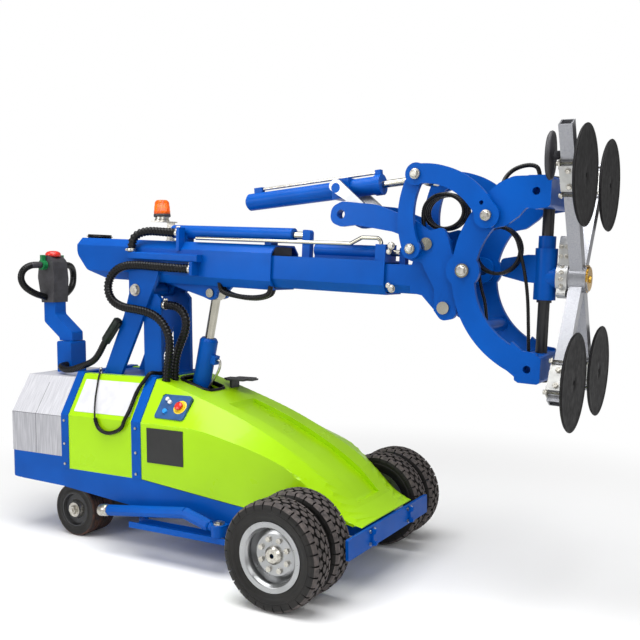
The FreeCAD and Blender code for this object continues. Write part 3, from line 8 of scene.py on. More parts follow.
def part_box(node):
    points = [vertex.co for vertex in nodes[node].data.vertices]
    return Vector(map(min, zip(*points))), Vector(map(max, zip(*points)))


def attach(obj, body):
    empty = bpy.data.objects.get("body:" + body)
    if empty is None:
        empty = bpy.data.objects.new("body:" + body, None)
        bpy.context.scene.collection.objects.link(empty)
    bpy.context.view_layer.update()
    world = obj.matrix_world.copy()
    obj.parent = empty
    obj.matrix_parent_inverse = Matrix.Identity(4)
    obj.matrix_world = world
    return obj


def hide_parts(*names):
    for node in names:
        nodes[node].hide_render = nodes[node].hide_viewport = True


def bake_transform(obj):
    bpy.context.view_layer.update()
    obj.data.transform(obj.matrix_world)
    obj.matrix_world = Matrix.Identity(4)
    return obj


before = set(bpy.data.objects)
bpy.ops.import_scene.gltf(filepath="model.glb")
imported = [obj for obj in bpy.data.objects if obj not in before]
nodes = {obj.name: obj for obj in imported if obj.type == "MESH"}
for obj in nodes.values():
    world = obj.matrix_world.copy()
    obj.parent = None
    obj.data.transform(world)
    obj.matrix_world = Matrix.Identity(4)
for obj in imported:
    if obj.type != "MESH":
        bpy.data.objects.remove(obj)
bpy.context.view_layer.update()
tyreLow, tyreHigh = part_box("front_tyres_left")
axleX = (tyreLow.x + tyreHigh.x) / 2  # the drawing's zero is the front axle
mm = 0.001
toFront, toLeft, upward = Vector((1, 0, 0)), Vector((0, 1, 0)), Vector((0, 0, 1))
xToY = Matrix.Rotation(math.radians(90), 4, "Z")
xToZ = Matrix.Rotation(math.radians(-90), 4, "Y")
print("frame loaded:", len(nodes), "nodes")


def at(x, y, z):
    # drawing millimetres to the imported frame
    return Vector((x * mm + axleX, y * mm, z * mm))


def linked(name, data):
    obj = bpy.data.objects.new(name, data)
    bpy.context.scene.collection.objects.link(obj)
    return obj


# Camera, fitted to the wheels' contact points and the boom
camera = dict(place=(1654.94, -3027.51, 1226.09), yaw=30.19, pitch=3.075, roll=0.484, lens=46.75, sensor=36.0,
              reach=100)


def addCamera(c):
    a, p, r = (math.radians(c[k]) for k in ("yaw", "pitch", "roll"))
    ahead = Vector((-math.sin(a) * math.cos(p), math.cos(a) * math.cos(p), -math.sin(p)))
    right = Vector((math.cos(a), math.sin(a), 0))
    up = right.cross(ahead)
    right, up = right * math.cos(r) - up * math.sin(r), right * math.sin(r) + up * math.cos(r)
    data = bpy.data.cameras.new("camera")
    data.lens, data.sensor_width, data.clip_end = c["lens"], c["sensor"], c["reach"]
    obj = linked("camera", data)
    obj.matrix_world = Matrix.Translation(at(*c["place"])) @ Matrix((right, up, -ahead)).transposed().to_4x4()
    bpy.context.scene.camera = obj


addCamera(camera)
bpy.context.scene.view_settings.view_transform = "Standard"
print("camera set")


# Materials
def linear(code):
    parts = [int(code[i:i + 2], 16) / 255 for i in (0, 2, 4)]
    return [p / 12.92 if p <= 0.04045 else ((p + 0.055) / 1.055) ** 2.4 for p in parts] + [1]


def addNode(tree, kind, inputs=None, **settings):
    made = tree.nodes.new(kind)
    for key, value in settings.items():
        setattr(made, key, value)
    for key, value in (inputs or {}).items():
        if isinstance(value, bpy.types.NodeSocket):
            tree.links.new(value, made.inputs[key])
        else:
            made.inputs[key].default_value = value
    return made


mottling = dict(detail=4, stops=(0.36, 0.66), span=(0.3, 0.7), bump=0.6)  # how much of a noise pattern shows


def finish(name, sockets, tone, grain, peel=None):
    # tone: two colours mottled at a size, grain: roughness range at a size, peel: bump height at a size;
    # sizes in mm, each with an optional stretch of its pattern
    material = bpy.data.materials.new(name)
    material.use_nodes = True
    tree = material.node_tree
    shader = tree.nodes["Principled BSDF"]
    for key, value in sockets.items():
        shader.inputs[key].default_value = value
    place = addNode(tree, "ShaderNodeTexCoord").outputs["Object"]

    def mottle(size, stretch=(1, 1, 1)):
        spread = addNode(tree, "ShaderNodeMapping", {"Vector": place, "Scale": stretch}).outputs["Vector"]
        noise = addNode(tree, "ShaderNodeTexNoise", {"Vector": spread, "Scale": 1 / (size * mm),
                                                     "Detail": mottling["detail"]})
        return noise.outputs["Fac"]

    light, dark, size, *stretch = tone
    ramp = addNode(tree, "ShaderNodeValToRGB", {"Fac": mottle(size, *stretch)})
    for stop, spot, code in zip(ramp.color_ramp.elements, mottling["stops"], (dark, light)):
        stop.position, stop.color = spot, linear(code)
    tree.links.new(ramp.outputs["Color"], shader.inputs["Base Color"])
    low, high, size, *stretch = grain
    span = addNode(tree, "ShaderNodeMapRange", {"Value": mottle(size, *stretch),
                                                "From Min": mottling["span"][0],
                                                "From Max": mottling["span"][1],
                                                "To Min": low, "To Max": high})
    tree.links.new(span.outputs["Result"], shader.inputs["Roughness"])
    if peel:
        height, size, *stretch = peel
        bump = addNode(tree, "ShaderNodeBump", {"Height": mottle(size, *stretch), "Distance": height * mm,
                                                "Strength": mottling["bump"]})
        tree.links.new(bump.outputs["Normal"], shader.inputs["Normal"])
    return material


# squeezed so that streaks run up and down, or up a slanted sheet
alongZ, upTheSheet = (30, 30, 1), (30, 1, 1)
# powder coat: deep saturated blue with a faint orange peel, dulled a little in patches
bluePaint = finish("blue powder coat",
                   {"Specular IOR Level": 0.1, "Coat Weight": 0.04, "Coat Roughness": 0.12},
                   ("0050aa", "00479a", 260), (0.32, 0.44, 90), (0.1, 5))
# gelcoat: bright lime with a clear gloss that shows the mould's slight waviness
limeGel = finish("lime gelcoat moulding",
                 {"Specular IOR Level": 0.2, "Coat Weight": 0.12, "Coat Roughness": 0.1},
                 ("a3d60a", "9bcc05", 340), (0.26, 0.36, 120), (0.06, 9))
# brushed sheet: fine streaks that run up and down, drawn coarser than real so that they show
brushedSheet = finish("brushed aluminium sheet", {"Metallic": 0.35}, ("bebec3", "9c9ca2", 90, alongZ),
                      (0.36, 0.52, 60, alongZ), (0.03, 40, alongZ))
# the slanted panels of the same sheet, brushed finer and painted paler: painted light from overhead, a lit
# copy of the flank's finish
paintedLightSheet = finish("fine brushed aluminium sheet with painted top light", {"Metallic": 0.3}, ("dedee3", "c0c0c6", 90, upTheSheet),
                   (0.34, 0.48, 60, upTheSheet), (0.03, 40, upTheSheet))
# sidewall: near black with a soft sheen that breaks up on the moulded rings
tyreRubber = finish("tyre sidewall rubber", {"Specular IOR Level": 0.3}, ("1d1b19", "131211", 60),
                    (0.42, 0.6, 30), (0.1, 3))
# tread tops: scuffed grey-brown dust over black
treadRubber = finish("dusty tread rubber", {}, ("574f4c", "3b3635", 18), (0.66, 0.84, 12), (0.2, 4))
# solid rear tyres pick up rusty brown dust
rustyRubber = finish("rust-dusted tyre rubber", {}, ("4a2b1c", "241a15", 26), (0.66, 0.82, 14), (0.2, 4))
# wheel paint: an even pale grey with a satin metallic glint
rimSilver = finish("silver wheel paint", {"Metallic": 0.92}, ("a8a9aa", "9c9d9e", 70),
                   (0.27, 0.31, 25), (0.02, 3))
# zinc: bright, slightly warm, clouded in small patches
zincPlate = finish("bright zinc plate", {"Metallic": 1.0}, ("c9c6be", "a8a49b", 14),
                   (0.24, 0.38, 9), (0.04, 2))
# ground and chromed rods: nearly a mirror, with a faint warm cast
hardChrome = finish("hard chrome", {"Metallic": 1.0}, ("b8b5a8", "a3a094", 120), (0.08, 0.16, 40))
# hose rubber: deep black with tight highlights along the ribs
hoseRubber = finish("black hose rubber", {"Specular IOR Level": 0.22}, ("0e0e0f", "070708", 40),
                    (0.24, 0.36, 22), (0.08, 2))
# moulded ABS: dark grey, its highlight dulled by a fine grain
blackPlastic = finish("grained black ABS", {}, ("37363a", "29282b", 50), (0.45, 0.62, 16), (0.12, 1.6))
# cup rubber: matt, almost without a highlight
cupRubber = finish("matt cup rubber", {"Specular IOR Level": 0.25}, ("161516", "100f10", 80),
                   (0.62, 0.78, 24), (0.06, 2.4))
# painted steel: black with a low gloss
blackSteel = finish("black painted steel", {}, ("202023", "141416", 70), (0.3, 0.48, 26), (0.06, 4))
# rubber cuff: almost black with a green cast
cuffRubber = finish("dark green rubber", {"Specular IOR Level": 0.3}, ("14211a", "0c1410", 30),
                    (0.4, 0.55, 14), (0.08, 3))
# buttons and the stop's ring: smooth bright mouldings under a thin gloss
redCap = finish("red ABS", {"Coat Weight": 0.3}, ("d92a1c", "c41f14", 30), (0.26, 0.36, 12), (0.04, 3))
yellowRing = finish("yellow ABS", {"Coat Weight": 0.3}, ("efd023", "e0bd18", 26), (0.3, 0.4, 12), (0.03, 3))
# throttles: dull and slightly waxy
greenGrip = finish("green nylon", {}, ("0f7a3f", "0b6233", 24), (0.38, 0.52, 10), (0.05, 2))
# printed films: flat colour with a soft gloss
whitePrint = finish("white vinyl film", {}, ("d8d8dc", "cacace", 60), (0.34, 0.46, 30), (0.02, 6))
panelFilm = finish("dark blue panel film", {}, ("24568f", "1c4678", 50), (0.34, 0.46, 20), (0.03, 4))
plateFilm = finish("black vinyl plate", {}, ("161615", "10100f", 70), (0.4, 0.54, 28), (0.02, 5))
# lenses: strong colour under a sharp gloss
skyKnob = finish("blue lens", {"Coat Weight": 0.6}, ("2b9bea", "1d83d2", 8), (0.14, 0.22, 6))
amberLens = finish("amber acrylic", {"IOR": 1.49, "Specular IOR Level": 0.3}, ("ea6a10", "d04a06", 22),
                   (0.1, 0.2, 12))
# the dark line where two sheets meet
seamShade = finish("shadowed sheet edge", {"Metallic": 0.3}, ("6f6f73", "58585c", 30), (0.5, 0.6, 12))
# drawn tube: pale metal with faint lines from the die
millAlu = finish("mill finish aluminium", {"Metallic": 0.8}, ("a4a5a9", "8b8c92", 50, alongZ),
                 (0.28, 0.42, 20, alongZ), (0.02, 14, alongZ))
# castings: pale, dull and slightly rough
castAlu = finish("cast aluminium", {"Metallic": 0.85}, ("babab8", "aaaaa8", 30),
                 (0.34, 0.46, 12), (0.05, 2.5))
# chromate: golden, uneven plating
goldChromate = finish("yellow chromate", {"Metallic": 1.0}, ("c9a24a", "a67f2c", 14),
                      (0.22, 0.36, 8), (0.03, 2))

dressed = {
    bluePaint: ("chassis_tub", "main_frame", "front_bumper", "hoop_frame", "mast", "boom_stage_1",
                "boom_stage_2", "boom_stage_3", "extension_barrel_1", "extension_barrel_2", "lift_barrel",
                "tilt_barrel", "head_bracket", "tilt_rocker", "tilt_link", "head_bow", "swing_knuckle",
                "tiller_arm", "tiller_socket", "outrigger_left", "outrigger_right"),
    limeGel: ("middle_cover", "hood"),
    brushedSheet: ("rear_cover",),
    rimSilver: ("front_rims_left", "front_rims_right", "tilt_bracket"),
    zincPlate: ("front_hub_left", "front_hub_right", "pins_and_bolts", "rear_axle", "beacon_base"),
    hardChrome: ("lift_rod", "tilt_rod", "stage_2_rod_and_pipe", "stage_3_rod_and_pins"),
    castAlu: ("roll_housing", "cup_carriers"),
    millAlu: ("suction_frame",),
    blackSteel: ("rear_bogie", "swing_shaft", "rear_hubs"),
    blackPlastic: ("tiller_head", "wear_pads", "power_pack"),
    redCap: ("estop_button", "belly_button"),
    greenGrip: ("throttles",),
    panelFilm: ("control_panel",),
    plateFilm: ("panel_fittings",),
    amberLens: ("beacon_lens",),
}
for material, names in dressed.items():
    for name in names:
        nodes[name].data.materials.clear()
        nodes[name].data.materials.append(material)


def paintWhere(name, material, test):
    # a second finish on the faces of a node whose middle, in drawing millimetres, passes the test
    mesh = nodes[name].data
    mesh.materials.append(material)
    spot = len(mesh.materials) - 1
    for face in mesh.polygons:
        c = face.center
        if test((c.x - axleX) / mm, c.y / mm, c.z / mm):
            face.material_index = spot


def inLine(x, z, c, rise):
    # distances along and above an axis that rises from a place
    dx, dz = x - c["x"], z - c["z"]
    return dx * math.cos(rise) + dz * math.sin(rise), dz * math.cos(rise) - dx * math.sin(rise)


panel = dict(low=600, labelFront=-900, estopX=-672, ringR=30, knobBack=-800, knobFront=-726, knobSplit=656)


def onKnobs(x, z):
    return panel["knobBack"] < x < panel["knobFront"] and z > panel["low"]


paintWhere("panel_fittings", whitePrint, lambda x, y, z: x < panel["labelFront"])
paintWhere("panel_fittings", yellowRing,
           lambda x, y, z: abs(x - panel["estopX"]) < panel["ringR"] and z > panel["low"])
paintWhere("panel_fittings", whitePrint, lambda x, y, z: onKnobs(x, z) and z > panel["knobSplit"])
paintWhere("panel_fittings", skyKnob, lambda x, y, z: onKnobs(x, z) and z <= panel["knobSplit"])
tilt = dict(x=20, z=1577, rise=math.atan2(23, 381), ports=(-403, 143), pipeLow=41, pipeHalf=8)


def onTiltPipe(x, y, z):
    along, above = inLine(x, z, tilt, tilt["rise"])
    between = tilt["ports"][0] < along < tilt["ports"][1]
    return between and above > tilt["pipeLow"] and abs(y) < tilt["pipeHalf"]


paintWhere("tilt_barrel", zincPlate, onTiltPipe)
rearHub = dict(x=-1318, z=125, face=236, ring=(36, 49))
paintWhere("rear_hubs", zincPlate, lambda x, y, z: abs(y) > rearHub["face"] and
           rearHub["ring"][0] < math.hypot(x - rearHub["x"], z - rearHub["z"]) < rearHub["ring"][1])
legTip = -1012
for side in ("left", "right"):
    paintWhere("outrigger_" + side, zincPlate, lambda x, y, z: x < legTip)
pinFace = 158.2
for name in ("tilt_rocker", "head_bow"):
    paintWhere(name, zincPlate, lambda x, y, z: abs(y) > pinFace)

# The head leans forward a little; its own millimetres run along, across and above the roll axis
head = dict(x=843, z=1212, lean=math.radians(2.9))
headTurn = Matrix.Rotation(head["lean"], 4, "Y")


def headPlace(x, y, z):
    c, s = math.cos(head["lean"]), math.sin(head["lean"])
    return at(head["x"] + x * c + z * s, y, head["z"] - x * s + z * c)


hubDisc = dict(back=150, radius=46)
paintWhere("suction_frame", goldChromate, lambda x, y, z: x > head["x"] + hubDisc["back"] and
           math.hypot(y, z - head["z"]) < hubDisc["radius"])
collar = dict(low=105, high=152, radius=34)


def onCollar(x, y, z):
    along, above = inLine(x, z, head, -head["lean"])
    return collar["low"] < above < collar["high"] and math.hypot(along, y) < collar["radius"]


paintWhere("swing_shaft", bluePaint, onCollar)
slant = dict(low=577, back=-1682)
# painted light: the slanted top panels of the tail cover get the paler, lit copy of the brushed sheet
paintWhere("rear_cover", paintedLightSheet, lambda x, y, z: z > slant["low"] and x > slant["back"])
print("finishes on the solids")


# Turned pieces and pieces that are added to bodies
def newPiece(name, mesh, body, slot, *stands):
    obj = linked(name, mesh)
    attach(obj, body)
    if stands:
        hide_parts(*stands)


def skinRows(bm, rows, capped=True):
    # faces between closed rows of points, and over the first and the last row
    made = []
    for low, high in zip(rows, rows[1:]):
        for i in range(len(low)):
            j = (i + 1) % len(low)
            made.append(bm.faces.new((low[i], low[j], high[j], high[i])))
    if capped:
        made += [bm.faces.new(rows[-1]), bm.faces.new(rows[0][::-1])]
    return made


def latheInto(bm, profile, place, steps, index=0, smooth=True):
    # closed ring of (along, radius) millimetres turned about local X and put in place
    rings = []
    for k in range(steps):
        a = 2 * math.pi * k / steps
        rings.append([bm.verts.new(place @ (Vector((u, r * math.sin(a), r * math.cos(a))) * mm))
                      for u, r in profile])
    made = skinRows(bm, rings + rings[:1], False)
    for face in made:
        face.material_index, face.smooth = index, smooth
    return made


def aimed(place, out):
    # local X along out, for the lathe
    return Matrix.Translation(place) @ out.to_track_quat("X", "Z").to_matrix().to_4x4()


def meshOf(name, bm, *materials):
    bmesh.ops.recalc_face_normals(bm, faces=bm.faces)
    mesh = bpy.data.meshes.new(name)
    bm.to_mesh(mesh)
    bm.free()
    for material in materials:
        mesh.materials.append(material)
    return mesh


def turnedPiece(name, profile, place, steps, material, body, slot, *stands):
    bm = bmesh.new()
    latheInto(bm, profile, place, steps)
    newPiece(name, meshOf(name, bm, material), body, slot, *stands)


# Geometry Nodes: a ring of copies of the mesh it is given, and a corrugated conduit along a curve
def treeWith(name, inputs):
    tree = bpy.data.node_groups.new(name, "GeometryNodeTree")
    tree.interface.new_socket("Geometry", in_out="INPUT", socket_type="NodeSocketGeometry")
    for key, kind in inputs:
        tree.interface.new_socket(key, in_out="INPUT", socket_type=kind)
    tree.interface.new_socket("Geometry", in_out="OUTPUT", socket_type="NodeSocketGeometry")
    return tree, addNode(tree, "NodeGroupInput").outputs


def close(tree, geometry, material):
    whole = addNode(tree, "GeometryNodeRealizeInstances", {"Geometry": geometry}).outputs["Geometry"]
    painted = addNode(tree, "GeometryNodeSetMaterial", {"Geometry": whole, "Material": material})
    addNode(tree, "NodeGroupOutput", {"Geometry": painted.outputs["Geometry"]})
    return tree


def blockRingTree():
    tree, given = treeWith("block ring", [("Count", "NodeSocketInt"), ("Phase", "NodeSocketFloat"),
                                          ("Material", "NodeSocketMaterial")])
    index = addNode(tree, "GeometryNodeInputIndex").outputs["Index"]
    turn = addNode(tree, "ShaderNodeMath", {0: 2 * math.pi, 1: given["Count"]}, operation="DIVIDE").outputs[0]
    share = addNode(tree, "ShaderNodeMath", {0: index, 1: given["Phase"]}, operation="ADD").outputs[0]
    angle = addNode(tree, "ShaderNodeMath", {0: share, 1: turn}, operation="MULTIPLY").outputs[0]
    aim = addNode(tree, "ShaderNodeCombineXYZ", {"Y": angle}).outputs["Vector"]
    points = addNode(tree, "GeometryNodePoints", {"Count": given["Count"]}).outputs[0]
    copies = addNode(tree, "GeometryNodeInstanceOnPoints", {"Points": points, "Instance": given["Geometry"],
                                                            "Rotation": aim}).outputs["Instances"]
    return close(tree, copies, given["Material"])


def conduitTree():
    # four rings to a rib: the first two at the crest, the others in the valley
    tree, given = treeWith("corrugated conduit", [("Pitch", "NodeSocketFloat"), ("Crest", "NodeSocketFloat"),
                                                  ("Valley", "NodeSocketFloat"), ("Sides", "NodeSocketInt"),
                                                  ("Material", "NodeSocketMaterial")])
    ribRings, lastCrest = 4.0, 1.5
    step = addNode(tree, "ShaderNodeMath", {0: given["Pitch"], 1: ribRings}, operation="DIVIDE").outputs[0]
    even = addNode(tree, "GeometryNodeResampleCurve", {"Curve": given["Geometry"], "Length": step},
                   mode="LENGTH").outputs[0]
    index = addNode(tree, "GeometryNodeInputIndex").outputs["Index"]
    phase = addNode(tree, "ShaderNodeMath", {0: index, 1: ribRings}, operation="MODULO").outputs[0]
    raised = addNode(tree, "ShaderNodeMath", {0: phase, 1: lastCrest}, operation="LESS_THAN").outputs[0]
    size = addNode(tree, "ShaderNodeMapRange", {"Value": raised, "To Min": given["Valley"],
                                                "To Max": given["Crest"]}).outputs[0]
    sized = addNode(tree, "GeometryNodeSetCurveRadius", {"Curve": even, "Radius": size}).outputs[0]
    ring = addNode(tree, "GeometryNodeCurvePrimitiveCircle", {"Resolution": given["Sides"], "Radius": 1.0})
    scale = addNode(tree, "GeometryNodeInputRadius").outputs[0]
    skin = addNode(tree, "GeometryNodeCurveToMesh", {"Curve": sized, "Profile Curve": ring.outputs[0],
                                                     "Scale": scale, "Fill Caps": True})
    return close(tree, skin.outputs[0], given["Material"])


blockRing, conduit = blockRingTree(), conduitTree()


def grown(obj, tree, values):
    # run a tree on an object and hand back its plain mesh
    modifier = obj.modifiers.new("grow", "NODES")
    modifier.node_group = tree
    keys = {item.name: item.identifier for item in tree.interface.items_tree if item.in_out == "INPUT"}
    for key, value in values.items():
        modifier[keys[key]] = value
    bpy.context.view_layer.update()
    seen = obj.evaluated_get(bpy.context.evaluated_depsgraph_get())
    mesh = bpy.data.meshes.new_from_object(seen)
    obj.modifiers.remove(modifier)
    bpy.data.objects.remove(obj)
    return mesh


# Front tyres: a carcass with five rows of tread blocks
frontTyre = dict(radius=206, half=58.5, bore=120.1, beadHalf=46, steps=112, outerY=516, pitch=154,
                 rowY=23.5, rowTip=7, tipDrop=0.32, blockCount=30, blockLong=37.4, blockWide=21.2,
                 blockWaist=0.45, treadHigh=9, sink=5, lugGap=1.6, lugEdge=1.5, dustUp=0.5)


def tyreProfile(t):
    # bead, rim guard, raised rings on the sidewall, round shoulder, crown
    r, h, b, bead = t["radius"] - t["treadHigh"], t["half"], t["bore"], t["beadHalf"]
    side = [(bead, b), (bead + 0.4, b + 12), (bead + 4, b + 15), (bead + 5, b + 20),
            (h - 4, b + 27), (h - 3.4, b + 29.5), (h - 1.6, b + 31), (h - 0.6, b + 44), (h - 0.6, b + 45.5),
            (h, b + 46), (h, b + 48), (h - 0.7, b + 48.6), (h - 2, r - 18), (h - 8, r - 6), (h - 20, r - 1.2),
            (h - 40, r)]
    return side + [(-u, v) for u, v in reversed(side)]


def hexBlock(t, y, tip):
    # one tread block with bevelled shoulders, its top at the tyre's radius
    bm = bmesh.new()
    a, b, w = t["blockLong"] / 2, t["blockWide"] / 2, t["blockWaist"] * t["blockLong"] / 2
    ring = [(a, 0), (w, b), (-w, b), (-a, 0), (-w, -b), (w, -b)]
    lean = Matrix.Rotation(math.radians(tip), 3, "X")
    top = Vector((0, y, t["radius"] - abs(tip) * t["tipDrop"]))
    rows = []
    for size, z in ((1.0, -t["treadHigh"] - t["sink"]), (1.0, -2.0), (0.95, -0.6), (0.86, 0)):
        rows.append([bm.verts.new((lean @ Vector((u * size, v * size, z)) + top) * mm) for u, v in ring])
    skinRows(bm, rows)
    return meshOf("block", bm)


def shoulderLug(t, s):
    # outer row: a lug that turns over the shoulder and runs down the sidewall
    r, h = t["radius"], t["half"]
    shape = [(h - 24, r - 12), (h - 24, r - 3.6), (h - 22.5, r - 2.4), (h - 11, r - 5), (h - 3.5, r - 12),
             (h - 0.2, r - 24), (h - 0.4, r - 34), (h - 2.6, r - 37), (h - 9, r - 20)]
    bm = bmesh.new()
    w, edge = (t["blockLong"] - t["lugGap"]) / 2, t["lugEdge"]
    mid = Vector((0, h - 12, r - 14))
    rows = []
    for x, size in ((-w, 0.985), (-w + edge, 1), (w - edge, 1), (w, 0.985)):
        rows.append([bm.verts.new((mid + (Vector((0, u, v)) - mid) * size + toFront * x) * mm)
                     for u, v in shape])
    skinRows(bm, rows)
    if s < 0:
        bmesh.ops.scale(bm, vec=(1, -1, 1), verts=bm.verts)
    return meshOf("lug", bm)


def frontTyreShape(t):
    # one tyre about the Y axis at the origin
    bm = bmesh.new()
    latheInto(bm, tyreProfile(t), xToY, t["steps"])
    rows = [(hexBlock(t, 0, 0), 0.0), (hexBlock(t, t["rowY"], -t["rowTip"]), 0.5),
            (hexBlock(t, -t["rowY"], t["rowTip"]), 0.5), (shoulderLug(t, 1), 0.0), (shoulderLug(t, -1), 0.0)]
    for block, phase in rows:
        ring = grown(linked("ring", block), blockRing, {"Count": t["blockCount"], "Phase": phase,
                                                        "Material": treadRubber})
        before = len(bm.faces)
        bm.from_mesh(ring)
        bm.faces.ensure_lookup_table()
        for face in bm.faces[before:]:
            # dust lies on the tops only, the grooves and lug sides stay black
            face.normal_update()
            out = face.calc_center_median() * Vector((1, 0, 1))
            face.material_index = int(face.normal.dot(out.normalized()) > t["dustUp"])
            face.smooth = False
    return bm


def tyreSet(name, shape, tread, places, body, node):
    # copies of one tyre on their axle
    tyre = bpy.data.meshes.new("tyre")
    shape.to_mesh(tyre)
    shape.free()
    bm = bmesh.new()
    for spot in places:
        before = len(bm.verts)
        bm.from_mesh(tyre)
        bm.verts.ensure_lookup_table()
        bmesh.ops.translate(bm, vec=spot, verts=bm.verts[before:])
    newPiece(name, meshOf(name, bm, tyreRubber, tread), body, "tyre_rubber", node)


tyreY = (frontTyre["outerY"], frontTyre["outerY"] - frontTyre["pitch"])
for side, s in (("left", 1), ("right", -1)):
    spots = [at(0, s * y, frontTyre["radius"]) for y in tyreY]
    tyreSet("treaded_tyres_" + side, frontTyreShape(frontTyre), treadRubber, spots, "front_wheels_" + side,
            "front_tyres_" + side)
print("front tyres treaded")

# Rear tyres: solid rubber with a stepped side and a band of shallow grooves
rearTyre = dict(radius=125, bore=80.1, half=34, x=-1318, innerY=140, pitch=76, steps=96,
                groove=2.0, grooveY=(16, 0, -16), grooveTop=2.2, grooveFloor=1.4, dustDeep=8)


def rearTyreShape(t):
    r, h, b = t["radius"], t["half"], t["bore"]
    side = [(h, b), (h, b + 8), (h - 1.5, b + 9.5), (h - 1.5, r - 18), (h, r - 16), (h, r - 7),
            (h - 2.6, r - 2), (h - 8, r)]
    top, floor, low = t["grooveTop"], t["grooveFloor"], r - t["groove"]
    tread = []
    for u in t["grooveY"]:
        tread += [(u + top, r), (u + floor, low), (u - floor, low), (u - top, r)]
    bm = bmesh.new()
    for face in latheInto(bm, side + tread + [(-u, v) for u, v in reversed(side)], xToY, t["steps"]):
        face.material_index = int(face.calc_center_median().xz.length > (r - t["dustDeep"]) * mm)
    return bm


rearSpots = [at(rearTyre["x"], s * y, rearTyre["radius"]) for s in (1, -1)
             for y in (rearTyre["innerY"], rearTyre["innerY"] + rearTyre["pitch"])]
tyreSet("rear_solid_tyres", rearTyreShape(rearTyre), rustyRubber, rearSpots, "rear_wheels", "rear_tyres")
print("rear tyres turned")

# Suction cups: moulded discs with a rolled lip round a plain, slightly dished face
cup = dict(back=156, lip=16, radius=170, bore=9, y=196, z=346, steps=128)


def cupProfile(c):
    r, t, b = c["radius"], c["lip"], c["bore"]
    return [(0.6, b), (0.2, 60), (0.2, 118), (1.2, 140), (3.2, 156), (6.5, 164), (10.5, 168.6), (14, r),
            (15.6, r - 1), (t, r - 4), (t - 0.6, r - 9), (t - 2.2, r - 13), (t - 2.4, r - 30), (t - 3.0, 90),
            (t - 3.4, 40), (t - 3.4, b)]


cups = bmesh.new()
for sy, sz in ((-1, 1), (1, 1), (1, -1), (-1, -1)):
    spot = Matrix.Translation(headPlace(cup["back"], sy * cup["y"], sz * cup["z"])) @ headTurn
    latheInto(cups, cupProfile(cup), spot, cup["steps"])
newPiece("cup_rubbers", meshOf("cup_rubbers", cups, cupRubber), "suction_head", "black_rubber",
         "suction_cups")
print("cups moulded")

# The boom dips at rest; its own millimetres run along, across and above it from the pivot
boom = dict(pinX=-1016, pinZ=1166, dip=math.radians(3.32))


def boomPlace(u, y, w):
    c, s = math.cos(boom["dip"]), math.sin(boom["dip"])
    return at(boom["pinX"] + u * c + w * s, y, boom["pinZ"] - u * s + w * c)


boomAlong = boomPlace(1, 0, 0) - boomPlace(0, 0, 0)
boomUp = boomPlace(0, 0, 1) - boomPlace(0, 0, 0)


# Hoses: the routes of the solids as smooth splines
def routeCurve(name, points):
    data = bpy.data.curves.new(name, "CURVE")
    data.dimensions, data.resolution_u = "3D", 12
    spline = data.splines.new("NURBS")
    spline.points.add(len(points) - 1)
    for p, v in zip(spline.points, points):
        p.co = (*v, 1)
    spline.order_u = 3
    spline.use_endpoint_u = True
    return linked(name, data)


def hoseSkin(route, h, material):
    mesh = grown(route, conduit, {"Pitch": h["pitch"] * mm, "Crest": h["radius"] * mm,
                                  "Valley": (h["radius"] - h["depth"]) * mm, "Sides": h["sides"],
                                  "Material": material})
    for face in mesh.polygons:
        face.use_smooth = True
    return mesh


def hoseAlong(name, points, h, body, *stands):
    # a corrugated hose on the route's spline
    route = routeCurve(name + "_route", points)
    bpy.context.view_layer.update()
    line = bpy.data.meshes.new_from_object(route.evaluated_get(bpy.context.evaluated_depsgraph_get()))
    obj = linked(name, hoseSkin(route, h, hoseRubber))
    if "bends" in h:
        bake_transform(obj)
    else:
        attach(obj, body)
    if stands:
        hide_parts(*stands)


hoseHole, railY, mastY = -824, -152, -92
railHose = dict(radius=20, depth=3.4, pitch=15, sides=20, length=1.23, lay="hanging",
                bends=("chassis", "boom", at(-1016, -150, 1080), at(-1016, -150, 1262)))
railRoute = [boomPlace(*p) for p in ((331.7, -134, 112), (288, -134, 112), (234, -152, 113))]
railRoute += [at(*p) for p in (
    (-900, -153, 1274), (-985, -153, 1281), (-1060, -155, 1279), (-1118, -158, 1256), (-1153, -162, 1212),
    (-1156, -166, 1158), (-1124, -169, 1112), (-1058, -171, 1086), (-980, -170, 1078), (-905, -167, 1066),
    (-846, -163, 1036), (-806, -160, 988), (-794, -157, 930), (-802, -154, 872), (-815, -152, 822),
    (hoseHole, railY, 774), (hoseHole, railY, 716))]
mastHose = dict(radius=20, depth=3.4, pitch=15, sides=20, length=0.5, lay="hanging")
mastRoute = [at(x, mastY, z) for x, z in (
    (-882.7, 1096), (-842, 1096), (-798, 1088), (-764, 1060), (-750, 1016), (-762, 968), (-788, 922),
    (-810, 874), (-822, 824), (hoseHole, 774), (hoseHole, 716))]
boomSleeve = dict(radius=20, depth=4.0, pitch=18, sides=20, length=0.34, lay="taut")
sleeveRoute = [boomPlace(*p) for p in (
    (224.7, -100, 270), (170, -100, 270), (112, -100, 272), (56, -103, 274), (8, -112, 266), (-20, -126, 244),
    (-28, -133, 212), (-28, -133, 176.3))]
bundle = dict(radius=16, depth=1.2, pitch=11, sides=18, length=0.6, lay="loose")
bundleY = -147.3
bundleRoute = [at(*p) for p in (
    (-1560, -50.3, 786), (-1560, -86, 786), (-1532, -116, 778), (-1484, -130, 772), (-1430, -138, 776),
    (-1376, -144, 792), (-1320, bundleY, 808), (-1272, bundleY, 828), (-1236, bundleY, 866),
    (-1206, bundleY, 912), (-1172, bundleY, 954), (-1138, bundleY, 990), (-1106, bundleY, 1026))]
hoseAlong("rail_hose", railRoute, railHose, "chassis", "mast_hoses")
hoseAlong("mast_hose", mastRoute, mastHose, "chassis", "mast_hoses")
hoseAlong("top_sleeve", sleeveRoute, boomSleeve, "boom", "boom_sleeve")
hoseAlong("control_cable", bundleRoute, bundle, "chassis", "cable_bundle")

# Cable folded over the near shoulder of the middle cover, its thin lead going up to a stud on the deck
cover = dict(half=292, shoulder=180, fold=585, top=770, foldY=-304)


